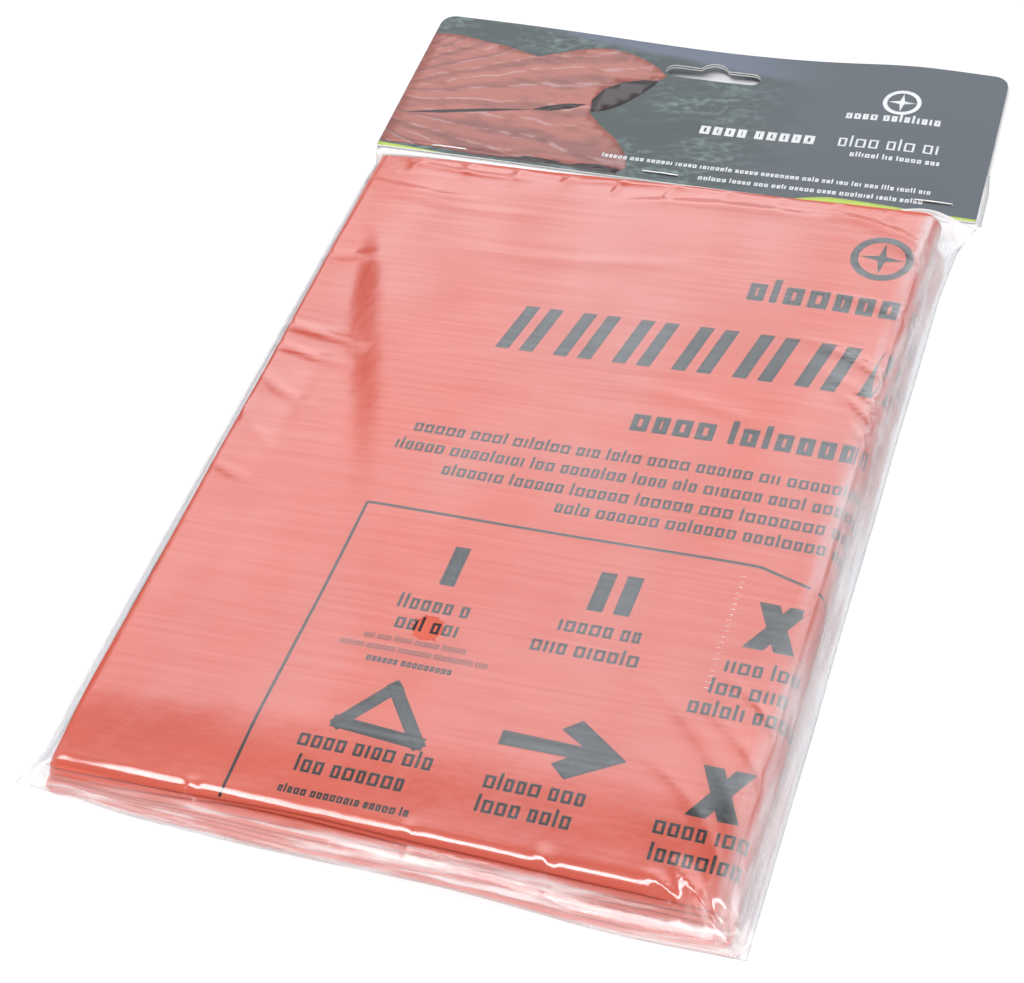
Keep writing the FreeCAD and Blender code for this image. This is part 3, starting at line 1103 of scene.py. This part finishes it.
# ---- the polybag ----------------------------------------------------------------------------
@dataclass
class Polybag:
    """The clear bag: its upper and lower films, drawn in at the neck to the card's mouth."""

    shape: StackShape
    header: HeaderFrame
    outline: PolybagOutline = field(default_factory=PolybagOutline)
    finish: ClearFilm = field(default_factory=ClearFilm)
    vent: tuple[float, float] = (-7.8, -63.0)
    vent_radius: float = 4.2
    mouth_depth: float = 24.0

    def weld_height(self, x: Array, y: Array) -> Array:
        """How high the flat edge of the bag stands off the floor."""
        lift = 0.9 + 0.7 * swell(x, y, 41, 70.0)
        ear = 3.0 * np.exp(-(((x + 103) / 8.0) ** 2 + ((y + 129) / 8.0) ** 2))
        return np.clip(lift + ear, 0.25, None)

    def creases(self) -> list[Crease]:
        """The film's ridges: fans from the edges, and pulls towards the neck."""
        made = [
            Crease((78.0, 46.0), (103.0, 17.0), 0.9, 1.3, 3.0),
            Crease((72.0, 52.0), (104.0, 26.0), 0.8, 1.0, 4.0),
            Crease((62.0, 64.0), (100.0, 44.0), 0.7, 1.4, 4.0),
            Crease((84.0, 34.0), (103.0, 8.0), 0.6, 0.9, 2.0),
            Crease((70.0, 84.0), (104.0, 66.0), 0.6, 1.6, 5.0),
            Crease((76.0, 112.0), (104.0, 88.0), 0.8, 1.3, 4.0),
            Crease((60.0, 120.0), (100.0, 104.0), 0.7, 1.8, 3.0),
            Crease((52.0, -66.0), (92.0, -122.0), 0.35, 2.2, 9.0),
            Crease((58.0, -88.0), (90.0, -124.0), 0.3, 1.2, 5.0),
            Crease((66.0, -70.0), (96.0, -104.0), 0.35, 1.4, 6.0),
            Crease((72.0, -60.0), (97.0, -88.0), 0.3, 1.0, 4.0),
            Crease((76.0, -116.0), (95.0, -134.0), 1.5, 1.1, -1.0),
            Crease((70.0, -121.0), (84.0, -133.0), 0.9, 0.9, 1.0),
            Crease((43.0, -120.0), (48.0, -134.0), 0.8, 0.8, 0.6),
            Crease((8.0, -121.0), (10.0, -133.0), 0.5, 0.8, 0.5),
            Crease((-52.0, -121.0), (-50.0, -132.0), 0.6, 0.9, -0.5),
            Crease((-102.0, 42.0), (-64.0, 37.0), 0.7, 1.5, 2.0),
            Crease((-102.0, 34.0), (-68.0, 29.0), 0.6, 1.2, 1.0),
            Crease((-102.0, 27.0), (-70.0, 10.0), 0.6, 1.6, -2.0),
            Crease((-101.0, 20.0), (-76.0, -10.0), 0.45, 1.8, -3.0),
            Crease((-102.0, -12.0), (-78.0, -22.0), 0.5, 1.4, -1.0),
            Crease((-101.0, 72.0), (-74.0, 78.0), 0.4, 1.6, 1.0),
            Crease((-98.0, 114.0), (-48.0, 108.0), 0.7, 1.2, -2.0),
            Crease((-92.0, 110.0), (-30.0, 104.0), 0.4, 1.4, -3.0),
            Crease((-86.0, 124.0), (-36.0, 121.0), 0.5, 1.2, -1.5),
            Crease((-30.0, 122.0), (44.0, 126.0), 0.6, 1.5, 1.5),
            Crease((-10.0, 114.0), (64.0, 116.0), 0.5, 2.0, 3.0),
            Crease((-60.0, 86.0), (30.0, 92.0), 0.3, 2.4, -4.0),
            Crease((14.0, 36.0), (66.0, 24.0), 0.3, 1.8, 3.0),
            Crease((-36.0, 62.0), (-20.0, 20.0), 0.25, 2.4, 3.0),
        ]
        for number in range(10):
            x = -80.0 + 17.5 * number
            made.append(Crease((x, 118.0 - number % 3), (x + 6.0, 137.0), 0.55, 1.6, 0.8))
        return made

    def upper(self, x: Array, y: Array) -> Array:
        """The upper film's height: over the stack, down to the edges, and in to the mouth.

        Over the stack it is the stack's own surface and a little air. From the stack's top
        edges it falls to the flat edge as (1 - t^2.1)^0.8, where t is the share of the way
        out; at a corner t is the cube root of the two shares' cubes, added. The ridges fade
        with it, and in the neck the film falls in a soft step to the card's plane.
        """
        s = self.shape
        air = 0.34 + 0.12 * swell(x, y, 42, 60.0) + 0.03 * swell(x, y, 43, 19.0)
        top = s.top + s.sag(x, y) + np.clip(air, 0.12, None)
        side_rest, spine_rest, front_rest = 2.2, 1.4, 2.6
        out_left = (s.left + side_rest - x) / (s.left + side_rest - self.outline.left(y))
        out_right = ((x - s.spine_x - spine_rest)
                     / (self.outline.right(y) - s.spine_x - spine_rest))
        out_front = (s.front + front_rest - y) / (s.front + front_rest - self.outline.front(x))
        out_side = np.clip(np.maximum(out_left, out_right), 0, 1)
        out = np.clip(np.cbrt(out_side ** 3 + np.clip(out_front, 0, 1) ** 3), 0, 1)
        fall = (1 - out ** 2.1) ** 0.8
        edge = self.weld_height(x, y)
        ridge = sum(crease.rise(x, y) for crease in self.creases()) * (0.25 + 0.75 * fall)
        ridge = ridge * np.clip(1 - out, 0, 1) ** 0.3
        body = edge + (top - edge) * fall + ridge
        swing_y, swing_z = self.header.swing_at(x)
        inward = smooth(y, self.neck_start(x), swing_y - 0.5)
        return body + (swing_z + 0.16 + self.bow(x, y) - body) * inward

    def neck_start(self, x: Array) -> Array:
        """The Y where the film leaves the stack for the mouth, later on the left."""
        return self.shape.rear - 2.4 + 1.2 * smooth(x, 0.0, -90.0)

    def bow(self, x: Array, y: Array) -> Array:
        """The card's bow, at a place in the neck or the mouth."""
        swing_y, _ = self.header.swing_at(x)
        return self.header.bend(x - self.header.origin[0], y - swing_y - self.header.edge_gap)

    def lower(self, x: Array, y: Array) -> Array:
        """The lower film's height: on the floor, up to the flat edge, and up to the mouth."""
        s = self.shape
        out_left = (s.left - s.drift - x) / (s.left - s.drift - self.outline.left(y))
        out_right = (x - s.right) / (self.outline.right(y) - s.right)
        out_front = (s.front - y) / (s.front - self.outline.front(x))
        out = np.clip(np.maximum(np.maximum(out_left, out_right), out_front), 0, 1)
        flat = 0.10 + 0.06 * swell(x, y, 44, 30.0)
        body = flat + (self.weld_height(x, y) - flat) * out ** 1.5
        swing_y, swing_z = self.header.swing_at(x)
        inward = smooth(y, s.rear + 0.6, swing_y - 0.4)
        return np.maximum(body + (swing_z - 0.16 + self.bow(x, y) - body) * inward, 0.03)

    def loop(self, x: Array, y: Array) -> Array:
        """The slack loop of film at the neck's right end, which stands up and rolls over."""
        swing_y, _ = self.header.swing_at(x)
        along = np.exp(-((x - 88.0) / 13.0) ** 2)
        return 5.2 * along * np.exp(-((y - swing_y + 3.4) / 1.7) ** 2)

    def flat_grid(self) -> tuple[Array, Array, Array]:
        """A film's grid, from the front edge to the swing line, cut finely at its edges.

        It is also cut finely round the vent, 6 mm each way.

        Returns:
            The X and the Y of every grid point, and its share of the way to the swing line.
        """
        wide, deep, fine, coarse = 200, 264, 0.5, 1.5
        across = spaced((0.0, fine / wide), (9.0 / wide, coarse / wide), (0.93, fine / wide),
                        (1.0, 1.0))
        along = spaced((0.0, fine / deep), (10.0 / deep, coarse / deep), (248.0 / deep, 0.7 / deep),
                       (1.0, 1.0))
        (left, width), (front_y, depth) = (-101.5, 199.2), (-131.5, 264.5)
        vent = (((self.vent[0] - left) / width, 6 / width),
                ((self.vent[1] - front_y) / depth, 6 / depth))
        across, along = (np.unique(np.concatenate([line, np.linspace(at - reach, at + reach, 19)]))
                         for line, (at, reach) in zip((across, along), vent))
        a, b = np.meshgrid(across, along, indexing="ij")
        y = front_y + b * depth
        x = self.outline.left(y) + a * (self.outline.right(y) - self.outline.left(y))
        swing_y, _ = self.header.swing_at(x)
        front = self.outline.front(x)
        return x, front + b * (swing_y - front), b

    def mouth(self, side: float) -> Array:
        """The film between the card's panels: a grid in the card's own plane."""
        across = np.linspace(0, 1, 90)
        up = np.linspace(-self.header.edge_gap, self.mouth_depth, 16)
        a, v = np.meshgrid(across, up, indexing="ij")
        start, end = -99.6, 102.0
        u = start + a * (end - start) - 0.9 * smooth(v, 14.0, 24.0) * smooth(a, 0.9, 1.0)
        out = self.header.bend(u, v) + side * 0.16 * np.clip(1 - np.abs(2 * a - 1) ** 12, 0, 1)
        return self.header.put(u, v, out)

    def vent_cut(self, x: Array, y: Array) -> tuple[Array, Array, Array]:
        """Opens the vent in a grid: the points just outside it are pulled onto its edge.

        Args:
            x: the X of every grid point.
            y: the Y of every grid point.

        Returns:
            The X and the Y after the pull, and which faces stay.
        """
        gap = np.hypot(x - self.vent[0], y - self.vent[1])
        inside = gap < self.vent_radius
        near = (gap < self.vent_radius + 0.75) & ~inside
        pull = np.where(near, self.vent_radius / np.maximum(gap, 0.1), 1.0)
        touched = inside[:-1, :-1] | inside[1:, :-1] | inside[1:, 1:] | inside[:-1, 1:]
        return (self.vent[0] + (x - self.vent[0]) * pull,
                self.vent[1] + (y - self.vent[1]) * pull, ~touched)

    def film(self) -> bpy.types.Object:
        """Both films as one shell, open at the vent and at the mouth's inner end.

        Along the front edge both films lie at the weld's height. Along the sides both go from
        there to midway between the films, with the eighth power of the share of the way.
        """
        shell = Shell()
        x, y, share = self.flat_grid()
        weld, neck = self.weld_height(x, y), share ** 8
        upper, lower = self.upper(x, y), self.lower(x, y)
        side_z = 0.5 * (lower + upper) * neck + weld * (1 - neck)
        for z, (flat_x, flat_y, keep) in ((upper + self.loop(x, y), self.vent_cut(x, y)),
                                          (lower, (x, y, None))):
            z[:, 0] = weld[:, 0]
            z[[0, -1], :] = side_z[[0, -1], :]
            shell.grid(np.stack([flat_x, flat_y, z], -1), keep=keep)
        for side in (1.0, -1.0):
            shell.grid(self.mouth(side))
        return shell.build("polybag_film", 0.01)

    def weld(self, side: str) -> bpy.types.Object:
        """One side weld: a thin crimped bead along the bag's edge.

        Args:
            side: left or right.

        Returns:
            The finished piece.
        """
        y = np.linspace(-129.0, 127.0, 330)
        edge = self.outline.left(y) if side == "left" else self.outline.right(y)
        inward = 1.0 if side == "left" else -1.0
        turn = once_round(8)
        crimp = 0.10 + 0.03 * np.sin(y * 2.6)
        x = (edge + inward * 0.9)[:, None] + 0.75 * np.cos(turn)
        z = self.weld_height(edge, y)[:, None] + 0.12 + crimp[:, None] * np.sin(turn)
        points = np.stack([x, np.repeat(y[:, None], len(turn), 1), z], -1)
        return Shell().tube(points).build(f"polybag_weld_bead_{side}")

    def ticks(self) -> bpy.types.Object:
        """The row of small pressed ticks in the upper film."""
        shell = Shell()
        turn = once_round(8)
        for y in np.arange(-66.0, -27.0, 1.9):
            x = np.linspace(69.4, 71.2, 5)
            size = 0.11 * np.sqrt(np.clip(1 - ((x - 70.3) / 0.95) ** 2, 0.01, 1))
            ring_y = y + size[:, None] * np.cos(turn)
            ring_x = np.repeat(x[:, None], len(turn), 1)
            ring_z = self.upper(ring_x, ring_y) + 0.02 + 0.6 * size[:, None] * np.sin(turn)
            shell.tube(np.stack([ring_x, ring_y, ring_z], -1))
        return shell.build("polybag_ticks")

    def build(self) -> list[bpy.types.Object]:
        """The film and its welds, in place of the CAD films."""
        film = self.film()
        film.data.materials.append(self.finish.material())
        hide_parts("polybag_base_film", "polybag_top_film", "polybag_neck",
                    "polybag_mouth")
        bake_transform(film)
        dense = ClearFilm("weld_film", 2.4, 0.03, 0.14, 0.14).material()
        pieces = [film]
        for side in ("left", "right"):
            bead = self.weld(side)
            bead.data.materials.append(dense)
            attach(bead, "pack")
            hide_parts(f"polybag_weld_{side}")
            pieces.append(bead)
        ticks = self.ticks()
        ticks.data.materials.append(dense)
        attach(ticks, "pack")
        return pieces + [ticks]


# ---- the header -----------------------------------------------------------------------------
@dataclass
class HeaderCard:
    """The folded board with its slot, print and staples."""

    header: HeaderFrame
    width: float = 200.0
    height: float = 75.0
    board: float = 0.45
    gap: float = 0.4
    corner: float = 5.0
    slot_centre: tuple[float, float] = (1.6, 60.75)
    slot_size: tuple[float, float] = (33.0, 6.5)
    bump: tuple[float, float] = (5.0, 1.5)
    staple_places: tuple[tuple[str, float, float], ...] = (
        ("staple_left", -75.3, 3.4), ("staple_centre", -2.9, 4.4), ("staple_right", 85.6, 7.0))

    def top_at(self, across: Array) -> Array:
        """The height of the fold at each place across, rounded off at the corners."""
        past = np.clip(np.abs(across) - (self.width / 2 - self.corner), 0, self.corner)
        return self.height - self.corner + np.sqrt(self.corner ** 2 - past ** 2)

    def panels(self) -> bpy.types.Object:
        """The board: a section like a tall U upside down, carried across the card."""
        middle = self.gap / 2 + self.board / 2
        across = spaced((-self.width / 2, 0.4), (-self.width / 2 + 6, 2.5),
                        (self.width / 2 - 6, 0.4), (self.width / 2, 1.0))
        turn = np.linspace(0, math.pi, 9)[1:-1]
        up = np.linspace(0, 1, 34)
        rows = []
        for radius in (middle + self.board / 2, middle - self.board / 2):
            share = np.concatenate([up, np.ones_like(turn), up[::-1]])
            rise = np.concatenate([0 * up, np.sin(turn) * radius, 0 * up])
            out = np.concatenate([radius + 0 * up, np.cos(turn) * radius, -radius + 0 * up])
            rows.append((share, rise, out))
        share, rise, out = (np.concatenate([a, b[::-1]]) for a, b in zip(*rows))
        u = np.repeat(across[:, None], len(share), 1)
        v = share * (self.top_at(u) - middle - self.board / 2) + rise
        flare = 0.35 * smooth(v, 3.0, 0.0) * np.sign(out)
        points = self.header.put(u, v, out + flare * 0.4 + self.header.bend(u, v))
        piece = Shell().tube(points, paired=True).build("header_board")
        piece.data.materials.append(SlateBoard().material(self.header))
        cutter = self.slot_cutter()
        cut = piece.modifiers.new("slot", "BOOLEAN")
        cut.object, cut.operation, cut.solver = cutter, "DIFFERENCE", "EXACT"
        cut.material_mode = "TRANSFER"
        settle(piece)
        bpy.data.objects.remove(cutter)
        crisp = piece.modifiers.new("edges", "EDGE_SPLIT")
        crisp.split_angle = math.radians(50)
        return settle(piece)

    def slot_outline(self) -> Array:
        """The euro slot's outline: half rounds at its ends, and a round rise in its top."""
        radius = self.slot_size[1] / 2
        reach = self.slot_size[0] / 2 - radius
        bump, rise = self.bump
        foot = math.asin((radius - rise) / bump)
        right = np.linspace(-math.pi / 2, math.pi / 2, 13)
        hump = np.linspace(foot, math.pi - foot, 13)
        return np.concatenate([
            np.stack([reach + radius * np.cos(right), radius * np.sin(right)], -1),
            np.stack([bump * np.cos(hump), rise + bump * np.sin(hump)], -1),
            np.stack([-reach - radius * np.cos(right), -radius * np.sin(right)], -1)])

    def slot_cutter(self) -> bpy.types.Object:
        """A prism of the slot's outline, through both panels, which leaves bare paper."""
        outline = self.slot_outline() + self.slot_centre
        depth = np.array([-6.0, 6.0])[:, None]
        points = self.header.put(outline[None, :, 0], outline[None, :, 1], depth)
        piece = Shell().tube(points).build("slot_cutter")
        piece.data.materials.append(
            Ink("card_core", (0.80, 0.80, 0.78), (0.68, 0.68, 0.66), 0.7).material())
        return piece

    def on_face(self, across: Array, up: Array, lift: float = 0.03) -> Array:
        """Places just above the card's front."""
        out = self.gap / 2 + self.board + self.header.bend(across, up)
        return self.header.put(across, up, out + lift + 0.14 * smooth(up, 3.0, 0.0))

    def picture(self) -> bpy.types.Object:
        """The picture: an orange bag that lies on the ground, its hood open and empty."""
        art = Artwork()
        art.outlines.append(np.array([
            (-99.9, 2.6), (-99.9, 63.4), (-95.0, 64.2), (-88.0, 63.8), (-80.6, 62.3), (-72.0, 61.0),
            (-65.0, 58.9), (-59.9, 57.6), (-55.1, 60.4), (-47.0, 64.6), (-40.5, 67.0),
            (-35.0, 67.6), (-29.0, 66.6), (-24.0, 64.6), (-18.0, 61.0), (-13.6, 56.6),
            (-15.6, 53.6), (-21.0, 52.8), (-27.6, 50.0), (-33.0, 44.6), (-35.2, 38.0),
            (-34.0, 31.0), (-28.6, 25.0), (-22.0, 19.4), (-17.0, 12.4), (-14.4, 5.4),
            (-17.4, 1.4), (-40.0, 1.9), (-62.0, 1.5), (-80.0, 2.8)]))
        return art.lay("card_picture", lambda u, v: self.on_face(u, v, 0.02), 4.0)

    def hollows(self) -> bpy.types.Object:
        """The dark places of the picture: inside the hood, and under the bag's long fold."""
        art = Artwork()
        art.outlines += [np.array(corners) for corners in (
            [(-15.6, 53.6), (-21.0, 52.8), (-27.6, 50.0), (-33.0, 44.6), (-35.2, 38.0),
             (-34.0, 31.6), (-29.4, 33.4), (-24.6, 37.6), (-20.6, 43.4), (-17.4, 49.0)],
            [(-54.0, 28.6), (-47.6, 29.2), (-41.0, 31.8), (-36.4, 35.4), (-42.6, 34.4),
             (-49.0, 31.8)],
            [(-96.0, 19.0), (-84.0, 20.6), (-68.0, 24.6), (-54.0, 28.6), (-68.0, 26.2),
             (-84.0, 22.4)],
            [(-62.0, 1.6), (-40.0, 2.0), (-17.4, 1.5), (-16.0, 3.6), (-24.0, 5.0), (-34.0, 3.4),
             (-48.0, 4.4)])]
        return art.lay("card_picture_hollows", lambda u, v: self.on_face(u, v, 0.04), 4.0)

    def lettering(self) -> bpy.types.Object:
        """White print: the mark, a title and three lines of blocked-out wording."""
        art = Artwork()
        art.ring((67.4, 54.6), 6.4, 1.5).needle((67.4, 54.6), 4.6)
        art.words(50.4, 83.4, 44.2, 2.9, Weight.BOLD, 201, 0.01)
        art.words(4.4, 47.0, 28.0, 4.4, Weight.BOLD, 202, 0.025)
        art.words(50.6, 85.0, 29.4, 4.3, Weight.LIGHT, 203, 0.025)
        art.words(55.4, 84.4, 24.7, 1.9, Weight.BOLD, 204)
        art.words(-24.0, 84.0, 9.2, 1.7, Weight.BOLD, 205, 0.01)
        art.words(9.8, 84.2, 3.9, 1.7, Weight.BOLD, 206, 0.02)
        return art.lay("card_lettering", self.on_face, 4.0)

    def band(self) -> bpy.types.Object:
        """The lime band: a long wedge along the lower edge at the right, a sliver at the left."""
        art = Artwork()
        u = np.linspace(42.0, 99.9, 24)
        top = 3.1 * np.sin(np.pi / 2 * np.clip((u - 42.0) / 13.0, 0, 1)) - 2.0 * smooth(u, 55.0, 99.9)
        art.outlines.append(np.concatenate([np.stack([u, 0 * u + 0.14], -1),
                                            np.stack([u, top + 0.16], -1)[::-1]]))
        art.outlines.append(np.array([(-99.9, 0.14), (-76.0, 0.14), (-86.0, 1.0), (-99.9, 2.0)]))
        return art.lay("card_lime_band", self.on_face, 4.0)

    def staple(self, name: str, across: float, up: float) -> bpy.types.Object:
        """A staple: rounded wire whose crown, legs and clinched ends follow one path.

        Args:
            name: the piece's name, which is its CAD node's with _wire.
            across: the crown's middle, across the card.
            up: its height above the card's lower edge.

        Returns:
            The finished piece.
        """
        half, bend, clinch, wide, thick = 6.17, 0.55, 4.6, 0.32, 0.22
        face = self.gap / 2 + self.board + thick
        quarter = np.linspace(0, math.pi / 2, 6)
        corner = np.stack([half - bend + bend * np.sin(quarter), face - bend + bend * np.cos(quarter)])
        foot = np.stack([half - bend + bend * np.cos(quarter), -face + bend - bend * np.sin(quarter)])
        tip = np.array([[half - clinch], [-face + 0.05]])
        right = np.concatenate([[[0.0], [face + 0.10]], corner, foot, tip], 1)
        path = np.concatenate([(right * [[-1], [1]])[:, :0:-1], right], 1)
        step = np.gradient(path, axis=1)
        step /= np.hypot(*step)
        turn = once_round(12)
        flat, tall = np.cos(turn), np.sin(turn)
        side = wide * np.sign(flat) * np.abs(flat) ** 0.6
        out = thick * np.sign(tall) * np.abs(tall) ** 0.6
        u = across + path[0][:, None] - step[1][:, None] * out
        v = up + np.repeat(side[None], path.shape[1], 0)
        w = path[1][:, None] + step[0][:, None] * out + self.header.bend(u, v)
        return Shell().tube(self.header.put(u, v, w)).build(name)

    def build(self) -> list[bpy.types.Object]:
        """The card, its print and its staples, riding on the header."""
        white = Ink("card_white", (0.80, 0.82, 0.84), (0.66, 0.68, 0.70), 0.35).material()
        lime = Ink("card_lime", (0.46, 0.60, 0.10), (0.52, 0.66, 0.16), 0.35).material()
        shadow = PrintedCloth("printed_hollows", (0.035, 0.022, 0.026), (0.012, 0.013, 0.016),
                              (0.07, 0.035, 0.035)).material(self.header)
        board = self.panels()
        dressed = ((self.picture(), PrintedCloth().material(self.header)),
                   (self.hollows(), shadow),
                   (self.lettering(), white), (self.band(), lime))
        for piece, material in dressed:
            piece.data.materials.append(material)
        made = [board, *(row[0] for row in dressed)]
        for piece in made:
            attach(piece, "header")
        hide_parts("header_card")
        steel = DrawnWire().material()
        for name, across, up in self.staple_places:
            wire = self.staple(f"{name}_wire", across, up)
            wire.data.materials.append(steel)
            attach(wire, "header")
            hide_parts(name)
            made.append(wire)
        return made


# ---- the studio -----------------------------------------------------------------------------
@dataclass
class Studio:
    """A pale floor, soft lights, and the camera above the pack's front right."""

    camera_place: tuple[float, float, float] = (185.14, -376.88, 451.26)
    camera_up: tuple[float, float, float] = (-0.14664, 0.72789, 0.66982)
    camera_way: tuple[float, float, float] = (-0.31033, 0.60911, -0.72985)
    lens: float = 74.77

    def floor(self) -> bpy.types.Object:
        """The floor, which curves up far behind."""
        x = np.linspace(-3500, 3500, 3)
        y = spaced((-3500, 1000), (2500, 60), (3000, 400), (4200, 1.0))
        a, b = np.meshgrid(x, y, indexing="ij")
        rise = 900 * np.clip((b - 2500) / 1700, 0, 1) ** 2
        piece = Shell().grid(np.stack([a, b, rise - 0.02], -1)).build("studio_floor")
        piece.data.materials.append(PaleFloor().material())
        return piece

    def softbox(self, name: str, place: tuple[float, float, float], size: tuple[float, float],
                power: float) -> None:
        """Adds one rectangular light that faces the pack.

        Args:
            name: the light's name.
            place: its middle, in metres.
            size: its width and height, in metres.
            power: its power, in watts.
        """
        lamp = bpy.data.lights.new(name, "AREA")
        lamp.shape, lamp.size, lamp.size_y, lamp.energy = "RECTANGLE", size[0], size[1], power
        holder = bpy.data.objects.new(name, lamp)
        holder.location = place
        holder.rotation_euler = (-Vector(place)).to_track_quat("-Z", "Y").to_euler()
        bpy.context.scene.collection.objects.link(holder)

    def room(self) -> None:
        """The room: dark above, with a broad pale screen behind the pack and a pale horizon.

        The screen's light grows towards the horizon. Its shape is drawn in the plane one unit
        above the pack: y from about 0.5 to 2.2 and x from about -0.9 to 0.65, with soft edges.
        The horizon goes all the way round, and stands higher at the right.
        """
        world = bpy.data.worlds.new("room")
        world.use_nodes = True
        tree = world.node_tree
        tree.nodes.clear()
        way = tree.nodes.new("ShaderNodeTexCoord")
        split = tree.nodes.new("ShaderNodeSeparateXYZ")
        tree.links.new(way.outputs["Generated"], split.inputs[0])
        x, y, z = (Signal(tree, split.outputs[axis]) for axis in range(3))
        height = z.most(0.02)
        ahead, aside = y / height, x / height
        inside = ahead.step(0.32, 0.66) * aside.step(-1.06, -0.70) * aside.step(0.85, 0.45)
        screen = inside * (1.95 + ahead.step(0.60, 1.30) * 0.40) * ahead.step(2.6, 1.8)
        horizon = (z.step(0.50, 0.30) * 0.95).most(aside.step(0.9, 1.5) * 0.75)
        level = 0.06 + screen.most(horizon)
        shine = tree.nodes.new("ShaderNodeBackground")
        shine.inputs["Color"].default_value = (0.95, 0.975, 1.0, 1.0)
        tree.links.new(level.socket, shine.inputs["Strength"])
        out = tree.nodes.new("ShaderNodeOutputWorld")
        tree.links.new(shine.outputs[0], out.inputs["Surface"])
        bpy.context.scene.world = world

    def lights(self) -> None:
        """A broad softbox overhead, which also makes the shine on the front edge, and three fills."""
        self.softbox("overhead_box", (-0.2, -0.35, 1.9), (2.4, 0.45), 29.0)
        self.softbox("front_box", (0.1, -1.9, 0.45), (1.6, 0.6), 12.0)
        self.softbox("left_box", (-1.7, -0.5, 1.1), (0.8, 1.0), 6.0)
        self.softbox("right_box", (1.7, 0.3, 0.9), (0.8, 1.0), 6.0)

    def camera(self) -> None:
        """The camera: its place, its view direction and its lens."""
        data = bpy.data.cameras.new("camera")
        data.lens, data.sensor_width = self.lens, 36.0
        data.clip_start, data.clip_end = 0.01, 30.0
        holder = bpy.data.objects.new("camera", data)
        back = -Vector(self.camera_way).normalized()
        side = Vector(self.camera_up).cross(back).normalized()
        up = back.cross(side)
        holder.matrix_world = (Matrix.Translation(Vector(self.camera_place) * MM)
                               @ Matrix((side, up, back)).transposed().to_4x4())
        bpy.context.scene.collection.objects.link(holder)
        bpy.context.scene.camera = holder

    def build(self) -> None:
        """Everything round the pack."""
        self.floor()
        self.room()
        self.lights()
        self.camera()
        bpy.context.scene.view_settings.view_transform = "Standard"


def main() -> None:
    """Builds the pack's sub-assemblies in order and reports each piece."""
    logging.basicConfig(level=logging.INFO, format="%(name)s: %(message)s")
    shape = StackShape.from_node("bag_wrap_1")
    header = HeaderFrame.from_joint(frame["record"]["behaviour"]["joints"][0])
    parts = (FoldedBag(shape), BagPrint(shape), Polybag(shape, header), HeaderCard(header))
    for part in parts:
        for piece in part.build():
            LOG.info("%s: %s with %d faces", type(part).__name__, piece.name,
                     len(piece.data.polygons))
    Studio().build()


if __name__ == "__main__":
    main()
